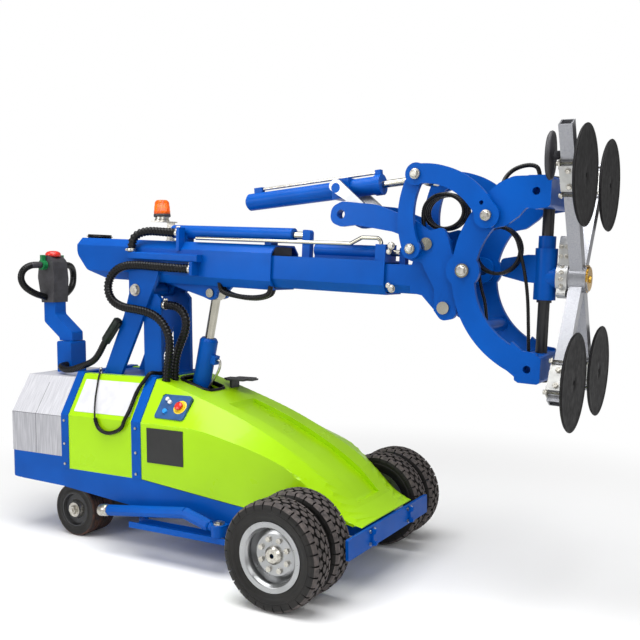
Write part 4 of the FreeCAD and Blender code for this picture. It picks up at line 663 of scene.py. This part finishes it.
def coverPlace(x, up, off):
    # millimetres along X, up the near shoulder and off it
    slope = math.atan2(cover["top"] - cover["fold"], cover["half"] - cover["shoulder"])
    c, s = math.cos(slope), math.sin(slope)
    return at(x, -cover["half"] + up * c - off * s, cover["fold"] + up * s + off * c)


foldCable = dict(radius=9, depth=0.5, pitch=8, sides=16, length=0.6, lay="loose")
foldRoute = [at(*p) for p in ((-868, -60, 785.2), (-868, -120, 785.2), (-874, -158, 789), (-884, -191, 796))]
foldRoute += [coverPlace(*p) for p in (
    (-902, 192, 19), (-921, 160, 15), (-930, 122, 13), (-930, 80, 12), (-930, 40, 14))]
foldRoute += [at(-934, cover["foldY"] - 6, 591)]
foldRoute += [at(x, cover["foldY"], z) for x, z in (
    (-952, 558), (-987, 536), (-1036, 523), (-1080, 530), (-1108, 552), (-1117, 588))]
leadCable = dict(radius=4, depth=0.0, pitch=6, sides=12, length=0.27, lay="loose")
stud = dict(x=-1215, y=-162, z=770, high=30, hold=789, steps=32)
leadRoute = [at(-1117, cover["foldY"], 578), at(-1119, cover["foldY"], 602)]
leadRoute += [coverPlace(*p) for p in ((-1146, 46, 9), (-1167, 95, 8), (-1183, 150, 8), (-1196, 200, 9))]
leadRoute += [at(stud["x"] + 12, stud["y"] - 12, stud["hold"]), at(stud["x"], stud["y"], stud["hold"])]
hoseAlong("fold_cable", foldRoute, foldCable, "chassis", "cable_bundle")
hoseAlong("lead_cable", leadRoute, leadCable, "chassis", "cable_bundle")
high = stud["high"]
studShape = [(0, 0.5), (0, 12), (4, 12), (5, 9), (high - 12, 9), (high - 11, 7), (high - 1, 7), (high, 6),
             (high, 0.5)]
spot = Matrix.Translation(at(stud["x"], stud["y"], stud["z"])) @ xToZ
turnedPiece("deck_stud", studShape, spot, stud["steps"], zincPlate, "chassis", "zinc", "cable_bundle")

# Head hoses wound three and a half turns about a level axis, one coil above the boom's end and one in the bow
backCoil = dict(radius=8.5, depth=0.6, pitch=8, sides=16, length=2.01, lay="coiled",
                x=460, z=1466, ring=80, squat=0.82, y=-31, rise=17.7, first=180, way=-1)
frontCoil = dict(radius=6.5, depth=0.5, pitch=8, sides=16, length=2.5, lay="coiled",
                 x=685, z=1312, ring=85, squat=1.0, y=-84, rise=13.6, first=0, way=1)
winding = dict(turns=3.5, perTurn=12, inside=0.966)  # a spline runs inside its points by this share


def wound(c):
    points = []
    ring = c["ring"] / winding["inside"]
    for k in range(int(winding["turns"] * winding["perTurn"]) + 1):
        turn = k / winding["perTurn"]
        a = math.radians(c["first"] + c["way"] * 360 * turn)
        points.append(at(c["x"] + ring * math.cos(a), c["y"] + c["rise"] * turn,
                         c["z"] + ring * c["squat"] * math.sin(a)))
    return points


backRoute = [at(380, -31, z) for z in (1262, 1330, 1410)] + wound(backCoil)
backRoute += [at(540, 31, 1410), at(534, 16, 1340), at(533, 4, 1300), at(533, 0, 1270.4)]
frontRoute = [at(*p) for p in ((800, -60, 938), (799, -60, 1040), (797, -64, 1150), (788, -76, 1240))]
frontRoute += wound(frontCoil)
frontRoute += [at(600, -36.4, 1250), at(616, -44, 1170), at(638, -53, 1110), at(640, -54.5, 1056.4)]
hoseAlong("back_coil", backRoute, backCoil, "stage_3", "head_coil_back")
hoseAlong("front_coil", frontRoute, frontCoil, "bow", "head_coil_front")

# Two hoses slung under the near edge of stage 1 and one that arches over the bow's upper arm to its block
slungHose = dict(radius=11, depth=0.8, pitch=9, sides=16, length=0.33, lay="hanging")
for letter, y, sag in (("a", -88, 0), ("b", -62, 4)):
    slung = [boomPlace(u, y, w) for u, w in (
        (450, 58), (453, 30), (480, 14), (530, 6 - sag), (588, 2 - sag), (645, 4 - sag), (694, 14), (716, 30),
        (719, 58))]
    hoseAlong("slung_hose_" + letter, slung, slungHose, "boom")
archHose = dict(radius=8, depth=0.5, pitch=8, sides=16, length=0.22, lay="loose")
archRoute = [at(*p) for p in (
    (712, -114, 1540), (712, -92, 1548), (718, -70, 1578), (744, -60, 1603), (785, -60, 1614),
    (818, -60, 1612), (836, -60, 1596), (838, -60, 1564))]
hoseAlong("arch_hose", archRoute, archHose, "bow")
print("hoses routed")


# Sheet seams on the tail
def barInto(bm, a, b, wide, thick, out):
    # a flat bar from a to b with its broad face towards out
    along = (b - a).normalized()
    side = out.cross(along).normalized()
    turn = Matrix((along, side, along.cross(side))).transposed().to_4x4()
    size = Matrix.Diagonal(((b - a).length, wide * mm, thick * mm, 1))
    return bmesh.ops.create_cube(bm, size=1, matrix=Matrix.Translation((a + b) / 2) @ turn @ size)["verts"]


tail = dict(x=-1521, back=-1684, front=-1346, low=389, fold=576, top=746, half=292, shoulder=180, wide=2.2,
            thick=0.9)


def seamMesh(c):
    bm = bmesh.new()
    for s in (1, -1):
        low, fold, top = (at(c["x"], s * y, z) for y, z in (
            (c["half"], c["low"]), (c["half"], c["fold"]), (c["shoulder"], c["top"])))
        back, front = (at(x, s * c["half"], c["fold"]) for x in (c["back"], c["front"]))
        aside = toLeft * s
        lean = Vector((0, s * (c["top"] - c["fold"]), c["half"] - c["shoulder"])).normalized()
        for a, b, out in ((low, fold, aside), (fold, top, lean), (back, front, (lean + aside).normalized())):
            barInto(bm, a, b, c["wide"], c["thick"], out)
    return meshOf("tail_seams", bm, seamShade)


newPiece("tail_seams", seamMesh(tail), "chassis", "brushed_cover")

# Plain dark film on the near flank, wider than the plate that it covers
film = dict(back=at(-819, -291.9, 490), front=at(-617, -291.9, 490), tall=153, thick=5)
bm = bmesh.new()
barInto(bm, film["back"], film["front"], film["tall"], film["thick"], -toLeft)
newPiece("dark_film", meshOf("dark_film", bm, plateFilm), "chassis", "plate_black")

# Rubber boot round the hood's opening, a small tray beside it, the lift cylinder's pipe
boot = dict(x=-736, z=731.5, slope=math.radians(16.2), long=86, wide=62, corner=30, steps=48,
            levels=((-1, -9), (-1, 7), (2, 10), (7, 10), (10, 7), (12, 0.4), (12, -2)))


def bootMesh(c):
    # rounded ring that lies on the hood's sloping top, a lip round the opening
    bm = bmesh.new()
    place = Matrix.Translation(at(c["x"], 0, c["z"])) @ Matrix.Rotation(c["slope"], 4, "Y")
    rows = []
    for grow, high in c["levels"]:
        r = c["corner"] + grow
        row = []
        for k in range(c["steps"]):
            a = 2 * math.pi * (k + 0.5) / c["steps"]
            x = math.copysign(c["long"] - c["corner"], math.cos(a)) + r * math.cos(a)
            y = math.copysign(c["wide"] - c["corner"], math.sin(a)) + r * math.sin(a)
            row.append(bm.verts.new(place @ (Vector((x, y, high)) * mm)))
        rows.append(row)
    for face in skinRows(bm, rows + rows[:1], False):
        face.smooth = True
    return meshOf("hood_boot", bm, hoseRubber)


newPiece("hood_boot", bootMesh(boot), "chassis", "black_rubber")
tray = dict(back=at(-690, 128, 746), front=at(-530, 128, 746), wide=110, thick=8, corner=30, cornerSteps=6,
            footLow=at(-648, 128, 700), footTop=at(-648, 128, 744), footWide=60, footThick=12)
bm = bmesh.new()
barInto(bm, tray["back"], tray["front"], tray["wide"], tray["thick"], upward)
upright = [e for e in bm.edges if abs((e.verts[0].co - e.verts[1].co).z) > mm]
bmesh.ops.bevel(bm, geom=upright, offset=tray["corner"] * mm, segments=tray["cornerSteps"], affect="EDGES")
barInto(bm, tray["footLow"], tray["footTop"], tray["footWide"], tray["footThick"], toFront)
newPiece("hood_tray", meshOf("hood_tray", bm, blackPlastic), "chassis", "black_plastic")
liftPipe = dict(radius=6, depth=0, pitch=6, sides=14)
pipeRoute = [at(x, 0, z) for x, z in (
    (-652, 842), (-638, 846), (-632, 826), (-645, 790), (-672, 756), (-700, 716))]
pipe = hoseSkin(routeCurve("lift_pipe", pipeRoute), liftPipe, zincPlate)
newPiece("lift_pipe", pipe, "lift_barrel", "zinc")
print("seams, film, boot, tray and pipe added")


# Hex bolts on washers, set out by Geometry Nodes on points that carry an aim and a size
def boltTree():
    tree, given = treeWith("bolts on points", [("Bolt", "NodeSocketObject"),
                                               ("Material", "NodeSocketMaterial")])
    aim = addNode(tree, "GeometryNodeInputNamedAttribute", {"Name": "aim"},
                  data_type="FLOAT_VECTOR").outputs[0]
    size = addNode(tree, "GeometryNodeInputNamedAttribute", {"Name": "size"}, data_type="FLOAT").outputs[0]
    turn = addNode(tree, "FunctionNodeAlignRotationToVector", {"Vector": aim}, axis="X").outputs[0]
    shape = addNode(tree, "GeometryNodeObjectInfo", {"Object": given["Bolt"]}).outputs["Geometry"]
    copies = addNode(tree, "GeometryNodeInstanceOnPoints", {"Points": given["Geometry"], "Instance": shape,
                                                            "Rotation": turn, "Scale": size})
    return close(tree, copies.outputs["Instances"], given["Material"])


# millimetres for a bolt of 20 across its flats
bolt = dict(washerR=14, washerT=2.5, washerSteps=28, corner=11.5, high=8, chamfer=1.4, crown=1.6, core=0.4)


def boltMesh(c):
    bm = bmesh.new()
    t, r, core, corner = c["washerT"], c["washerR"], c["core"], c["corner"]
    top = t + c["high"]
    washer = [(-1, core), (-1, r), (t - 0.6, r), (t, r - 0.6), (t, core)]
    latheInto(bm, washer, Matrix(), c["washerSteps"])
    hexagon = [(t - 0.5, core), (t - 0.5, corner), (top - c["chamfer"], corner), (top, corner - c["crown"]),
               (top, core)]
    latheInto(bm, hexagon, Matrix(), 6, smooth=False)
    return meshOf("bolt", bm)


# x, z, half spread and size of the bolts that hold the linkage's pins
pinBolts = {"rocker": [(401, 1600, 167, 1.3)], "bow": [(673, 1435, 167, 1.3)],
            "stage_3": [(369, 1323, 145, 1.2), (576, 1239, 145, 1.5)]}
boltSpots = {body: [(at(x, s * y, z), toLeft * s, size) for x, z, y, size in rows for s in (1, -1)]
             for body, rows in pinBolts.items()}

# Clamps that hold a cup's carrier on each of the four arms
clamp = dict(reach=math.hypot(196, 346), tilt=math.atan2(196, 346), mid=117.5, half=29.5, back=88, apart=28,
             size=0.75)
armAngles = [clamp["tilt"], -clamp["tilt"], math.pi - clamp["tilt"], math.pi + clamp["tilt"]]


def onArm(a, x, across, far):
    # head millimetres on the arm that leans by a: along the roll axis, across the arm, past the cup's middle
    c, s, reach = math.cos(a), math.sin(a), clamp["reach"] + far
    return headPlace(x, across * c - reach * s, across * s + reach * c)


boltSpots["suction_head"] = []
for a in armAngles:
    for far in (-clamp["apart"], clamp["apart"]):
        middle = onArm(a, clamp["mid"], 0, far)
        for across in (clamp["half"], -clamp["half"]):
            spot = onArm(a, clamp["mid"], across, far)
            boltSpots["suction_head"].append((spot, (spot - middle).normalized(), clamp["size"]))
        spot = onArm(a, clamp["back"], 0, far)
        boltSpots["suction_head"].append((spot, headTurn @ -toFront, clamp["size"]))
stageEnd = dict(half=97, rows=((272, 1338, 1.1), (262, 1316, 0.8), (272, 1172, 1.1), (258, 1184, 0.8)))
boltSpots["stage_2"] = [(at(x, s * stageEnd["half"], z), toLeft * s, size) for s in (-1, 1)
                        for x, z, size in stageEnd["rows"]]
drive = dict(x=70, radius=60, first=135, step=24, count=6, side=34, size=0.6,
             rows=((60, 78), (80, 78), (60, 112), (80, 112)))
boltSpots["knuckle"] = []
for k in range(drive["count"]):
    a = math.radians(drive["first"] + drive["step"] * k)
    spot = headPlace(drive["x"], drive["radius"] * math.cos(a), drive["radius"] * math.sin(a))
    boltSpots["knuckle"].append((spot, (spot - headPlace(drive["x"], 0, 0)).normalized(), drive["size"]))
for x, z in drive["rows"]:
    for s in (1, -1):
        boltSpots["knuckle"].append((headPlace(x, s * drive["side"], z), toLeft * s, drive["size"]))
boltsOnPoints, boltShape = boltTree(), linked("bolt_shape", boltMesh(bolt))
for body, spots in boltSpots.items():
    points = bpy.data.meshes.new("points")
    points.from_pydata([row[0] for row in spots], [], [])
    aims, sizes = [v for row in spots for v in row[1]], [row[2] for row in spots]
    points.attributes.new("aim", "FLOAT_VECTOR", "POINT").data.foreach_set("vector", aims)
    points.attributes.new("size", "FLOAT", "POINT").data.foreach_set("value", sizes)
    mesh = grown(linked("points", points), boltsOnPoints, {"Bolt": boltShape, "Material": zincPlate})
    newPiece("hex_bolts_" + body, mesh, body, "zinc")
bpy.data.objects.remove(boltShape)
print("bolts set")

# Worm-drive clamps where a hose is held: place and direction on each body
hoseClamps = {
    "boom": [(boomPlace(322, -134, 112), boomAlong), (boomPlace(216, -100, 270), boomAlong),
             (boomPlace(-28, -133, 184), boomUp)],
    "chassis": [(at(-872, mastY, 1096), toFront), (at(hoseHole, mastY, 742), upward),
                (at(hoseHole, railY, 742), upward)],
}
band = dict(hoseR=20, wide=13, thick=1.6, steps=40, screwR=5, screwLong=22, screwSteps=16, headLong=6,
            headProud=1.5, sunk=2)
r, t, w = band["hoseR"], band["thick"], band["wide"] / 2
bandShape = [(-w, r - 1), (-w, r + t - 0.5), (-w + 1, r + t), (w - 1, r + t), (w, r + t - 0.5), (w, r - 1)]
half, thread, bandHead = band["screwLong"] / 2, band["screwR"], band["screwR"] + band["headProud"]
neck = half - band["headLong"]
screwShape = [(-half, 0.4), (-half, thread), (neck, thread), (neck, bandHead), (half, bandHead), (half, 0.4)]
for body, rows in hoseClamps.items():
    bm = bmesh.new()
    for place, out in rows:
        spot = aimed(place, out.normalized())
        latheInto(bm, bandShape, spot, band["steps"])
        across = spot @ Matrix.Translation(upward * (r + t + thread - band["sunk"]) * mm) @ xToY
        latheInto(bm, screwShape, across, band["screwSteps"])
    newPiece("hose_clamps_" + body, meshOf("hose_clamps_" + body, bm, zincPlate), body, "zinc")

# Yellow disc under the stop button, red button on the tiller's head, black housing behind the near upper arm
stopDisc = dict(y=-236, z=655, tilt=math.radians(51.3), lift=6, radius=33, bore=10, thick=1.4, steps=64)
out = Vector((0, -math.sin(stopDisc["tilt"]), math.cos(stopDisc["tilt"])))
t, r, b = stopDisc["thick"], stopDisc["radius"], stopDisc["bore"]
spot = aimed(at(panel["estopX"], stopDisc["y"], stopDisc["z"]) + out * stopDisc["lift"] * mm, out)
discShape = [(-1, b), (-1, r), (t - 0.5, r), (t, r - 0.8), (t, b)]
turnedPiece("stop_disc", discShape, spot, stopDisc["steps"], yellowRing, "chassis", "red_plastic")
tillerCap = dict(place=at(-1697, 0, 1334), steps=48,
                 shape=((0, 0.5), (0, 38), (10, 39), (18, 37), (25, 30), (29, 17), (30, 0.5)))
turnedPiece("tiller_cap", tillerCap["shape"], aimed(tillerCap["place"], upward), tillerCap["steps"], redCap,
            "tiller", "red_plastic")
housing = dict(reach=470, slim=0.6, steps=56,
               shape=((46, 0.5), (46, 58), (48, 72), (53, 80), (60, 82), (66, 78), (68, 66), (69, 18),
                      (70, 15), (96, 15), (96, 0.5)))
spot = Matrix.Translation(onArm(clamp["tilt"], 0, 0, housing["reach"] - clamp["reach"])) @ headTurn
spot = spot @ Matrix.Diagonal((1, housing["slim"], 1, 1))
turnedPiece("arm_housing", housing["shape"], spot, housing["steps"], blackPlastic, "suction_head",
            "black_plastic")

# Beacon lens: a fluted dome over a dark collar
lensLow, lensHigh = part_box("beacon_lens")
beacon = dict(radius=37, flutes=28, fluteSteps=4, deep=0.7, fluteIn=8, collarR=39, collarSteps=56)
high, r, c = (lensHigh.z - lensLow.z) / mm, beacon["radius"], beacon["collarR"]
lensMid = (lensLow + lensHigh) / 2
spot = Matrix.Translation((lensMid.x, lensMid.y, lensLow.z)) @ xToZ
lens = [(2, 0.5), (2, r), (high * 0.3, r - 0.5), (high * 0.31, r - 1.6), (high * 0.6, r - 2.5),
        (high * 0.61, r - 3.6), (high * 0.84, r - 5), (high * 0.94, r - 8.5), (high - 0.6, r - 14),
        (high, r - 20), (high, 0.5)]
bm = bmesh.new()
latheInto(bm, lens, spot, beacon["flutes"] * beacon["fluteSteps"])
for vert in bm.verts:
    local = spot.inverted() @ vert.co
    if local.yz.length > (r - beacon["fluteIn"]) * mm:
        a = math.atan2(local.y, local.z)
        push = beacon["deep"] * mm * math.cos(a * beacon["flutes"])
        vert.co += spot.to_3x3() @ Vector((0, math.sin(a), math.cos(a))) * push
newPiece("fluted_lens", meshOf("fluted_lens", bm, amberLens), "boom", "amber", "beacon_lens")
turnedPiece("beacon_collar", [(-8, 0.5), (-8, c - 3), (-6, c), (4, c), (6, c - 2), (6, 0.5)], spot,
            beacon["collarSteps"], blackPlastic, "boom", "black_plastic")

# Tiller head: the moulded body of the solid with round foam grips in place of its plain loops
grip = dict(radius=17, depth=0.5, pitch=10, sides=22, body=49, merge=0.02)
gripRoute = ((-1705, 40, 1290), (-1706, 84, 1292), (-1716, 132, 1290), (-1732, 166, 1266), (-1740, 176, 1224),
             (-1732, 160, 1182), (-1719, 120, 1152), (-1708, 80, 1135), (-1705, 40, 1126))
bm = bmesh.new()
bm.from_mesh(nodes["tiller_head"].data)
bmesh.ops.remove_doubles(bm, verts=bm.verts, dist=grip["merge"] * mm)
bmesh.ops.delete(bm, geom=[v for v in bm.verts if abs(v.co.y) > grip["body"] * mm], context="VERTS")
bmesh.ops.holes_fill(bm, edges=[e for e in bm.edges if e.is_boundary], sides=0)
for face in bm.faces:
    face.material_index = 0
for s in (1, -1):
    loop = hoseSkin(routeCurve("grip", [at(x, s * y, z) for x, y, z in gripRoute]), grip, hoseRubber)
    before = len(bm.faces)
    bm.from_mesh(loop)
    bm.faces.ensure_lookup_table()
    for face in bm.faces[before:]:
        face.material_index = 1
newPiece("tiller_grips", meshOf("tiller_grips", bm, blackPlastic, hoseRubber), "tiller", "black_plastic",
         "tiller_head")

# Cross bars that pull each cup's clamp together, with through bolts
bars = dict(off=58, half=42, wide=16, thick=7, edge=1.2, front=143.5, back=91.5, rodAt=34, rodR=4.5,
            rodSteps=12, nutR=8, nutLow=9, nutLong=6, rodOut=5)
low, top = bars["back"] - bars["nutLow"], bars["front"] + bars["rodOut"]
nut, nutR, rodR = low + bars["nutLong"], bars["nutR"], bars["rodR"]
rod = [(low, 0.4), (low, nutR), (nut, nutR), (nut, rodR), (top, rodR), (top, 0.4)]
bm = bmesh.new()
for a in armAngles:
    for far in (-bars["off"], bars["off"]):
        for x in (bars["front"], bars["back"]):
            verts = barInto(bm, onArm(a, x, -bars["half"], far), onArm(a, x, bars["half"], far), bars["wide"],
                            bars["thick"], headTurn @ toFront)
            edges = list(dict.fromkeys(e for v in verts for e in v.link_edges))
            bmesh.ops.bevel(bm, geom=edges, offset=bars["edge"] * mm, segments=2, affect="EDGES")
        for across in (bars["rodAt"], -bars["rodAt"]):
            latheInto(bm, rod, Matrix.Translation(onArm(a, 0, across, far)) @ headTurn, bars["rodSteps"])
newPiece("clamp_bars", meshOf("clamp_bars", bm, zincPlate), "suction_head", "zinc")

# Rubber cuff where the control cable meets the mast, rubber buffer on the boom's rear end
cuff = dict(start=at(-1200, bundleY - 1, 918), end=at(-1106, bundleY - 1, 1028), wide=46, thick=31, round=9,
            out=-toLeft)
buffer = dict(start=boomPlace(-404, 0, 240), end=boomPlace(-322, 0, 240), wide=110, thick=20, round=8,
              out=boomUp)
for name, c, rubber, body in (("cable_cuff", cuff, cuffRubber, "chassis"),
                              ("boom_buffer", buffer, hoseRubber, "boom")):
    bm = bmesh.new()
    barInto(bm, c["start"], c["end"], c["wide"], c["thick"], c["out"])
    bmesh.ops.bevel(bm, geom=list(bm.edges), offset=c["round"] * mm, segments=4, affect="EDGES")
    for face in bm.faces:
        face.smooth = True
    newPiece(name, meshOf(name, bm, rubber), body, "black_rubber")

# Stepped ring inside each outer rim, eight-sided sleeve and roller on each outrigger
rimRing = dict(steps=96, shape=((49.6, 112.6), (47, 108.5), (41, 107), (39, 103.5), (31, 101.5), (28, 103),
                                (28, 113.5), (49.6, 113.5)))
leg = dict(tip=(-1030, 345, 186), bend=(-567, 345, 236), pivot=(-391, 345, 186), sides=8, rollerSteps=44,
           rear=((26, 15), (28, 22), (33, 25), (467, 25), (469, 15)),
           front=((-3, 15), (-1, 25), (126, 25), (132, 22.5), (134, 15)),
           roller=((-25.5, 0.5), (-25.5, 19), (-22, 25), (-19, 26.5), (18, 26.5), (21, 25), (25, 20),
                   (26, 15), (24, 0.5)))
for side, s in (("left", 1), ("right", -1)):
    spot = aimed(at(0, s * frontTyre["outerY"], frontTyre["radius"]), toLeft * s)
    turnedPiece("rim_ring_" + side, rimRing["shape"], spot, rimRing["steps"], rimSilver,
                "front_wheels_" + side, "wheel_silver")
    tip, bend, pivot = (at(x, s * y, z) for x, y, z in (leg["tip"], leg["bend"], leg["pivot"]))
    fromTip, fromBend = aimed(tip, (bend - tip).normalized()), aimed(bend, (pivot - bend).normalized())
    bm = bmesh.new()
    latheInto(bm, leg["rear"], fromTip, leg["sides"], smooth=False)
    latheInto(bm, leg["front"], fromBend, leg["sides"], smooth=False)
    latheInto(bm, leg["roller"], fromTip, leg["rollerSteps"], 1)
    name = "leg_sleeve_" + side
    newPiece(name, meshOf(name, bm, bluePaint, zincPlate), "outrigger_" + side, "blue_paint")
print("beacon, grips, clamps and small pieces added")

# Floor, backdrop and lights, in metres
studio = dict(floorR=40, floorSides=96, floorZ=-0.0005, fade=(1.2, 3.4), ambient=0.36)


def addFloor(c):
    # a pale floor that keeps the shadow and turns white away from the object
    bm = bmesh.new()
    bmesh.ops.create_circle(bm, cap_ends=True, radius=c["floorR"], segments=c["floorSides"])
    mesh = bpy.data.meshes.new("floor")
    bm.to_mesh(mesh)
    bm.free()
    floor = linked("floor", mesh)
    floor.location.z = c["floorZ"]
    material = bpy.data.materials.new("pale studio floor")
    material.use_nodes = True
    tree = material.node_tree
    shader = tree.nodes["Principled BSDF"]
    shader.inputs["Base Color"].default_value = linear("f7f7f7")
    shader.inputs["Roughness"].default_value = 0.9
    place = addNode(tree, "ShaderNodeTexCoord").outputs["Object"]
    away = addNode(tree, "ShaderNodeVectorMath", {0: place}, operation="LENGTH").outputs["Value"]
    start, end = c["fade"]
    fade = addNode(tree, "ShaderNodeMapRange", {"Value": away, "From Min": start, "From Max": end},
                   interpolation_type="SMOOTHSTEP").outputs["Result"]
    rays = addNode(tree, "ShaderNodeLightPath").outputs
    seen = rays["Is Camera Ray"]
    for ray in ("Is Glossy Ray", "Is Transmission Ray"):
        seen = addNode(tree, "ShaderNodeMath", {0: seen, 1: rays[ray]}, operation="MAXIMUM").outputs[0]
    far = addNode(tree, "ShaderNodeMath", {0: fade, 1: seen}, operation="MULTIPLY").outputs[0]
    white = addNode(tree, "ShaderNodeEmission", {"Color": (1, 1, 1, 1), "Strength": 1.0}).outputs["Emission"]
    mixed = addNode(tree, "ShaderNodeMixShader", {"Fac": far, 1: shader.outputs["BSDF"], 2: white})
    tree.links.new(mixed.outputs["Shader"], tree.nodes["Material Output"].inputs["Surface"])
    mesh.materials.append(material)


def addWorld(c):
    # white to the camera, a low even light on the object
    world = bpy.data.worlds.new("studio")
    bpy.context.scene.world = world
    world.use_nodes = True
    tree = world.node_tree
    rays = addNode(tree, "ShaderNodeLightPath").outputs
    seen = addNode(tree, "ShaderNodeMath", {0: rays["Is Camera Ray"], 1: rays["Is Transmission Ray"]},
                   operation="MAXIMUM").outputs[0]
    level = addNode(tree, "ShaderNodeMapRange", {"Value": seen, "To Min": c["ambient"], "To Max": 1.0})
    tree.links.new(level.outputs["Result"], tree.nodes["Background"].inputs["Strength"])
    tree.nodes["Background"].inputs["Color"].default_value = (1, 1, 1, 1)


softboxes = [
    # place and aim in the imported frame, width and height, watts
    dict(name="overhead", place=(0.2, -0.9, 4.2), aim=(0, 0, 0.6), size=(4.2, 2.6), power=196),
    dict(name="front left", place=(-2.6, -4.2, 2.4), aim=(-0.2, 0, 0.7), size=(2.4, 2.2), power=76),
    dict(name="front right", place=(3.4, -3.4, 2.6), aim=(0.4, 0, 0.9), size=(2.2, 2.2), power=54),
]


def addSoftbox(b):
    data = bpy.data.lights.new(b["name"], "AREA")
    data.shape, data.size, data.size_y, data.energy = "RECTANGLE", *b["size"], b["power"]
    lamp = linked(b["name"], data)
    lamp.location = b["place"]
    lamp.rotation_euler = (Vector(b["aim"]) - Vector(b["place"])).to_track_quat("-Z", "Y").to_euler()


addFloor(studio)
addWorld(studio)
for b in softboxes:
    addSoftbox(b)
print("studio lit")
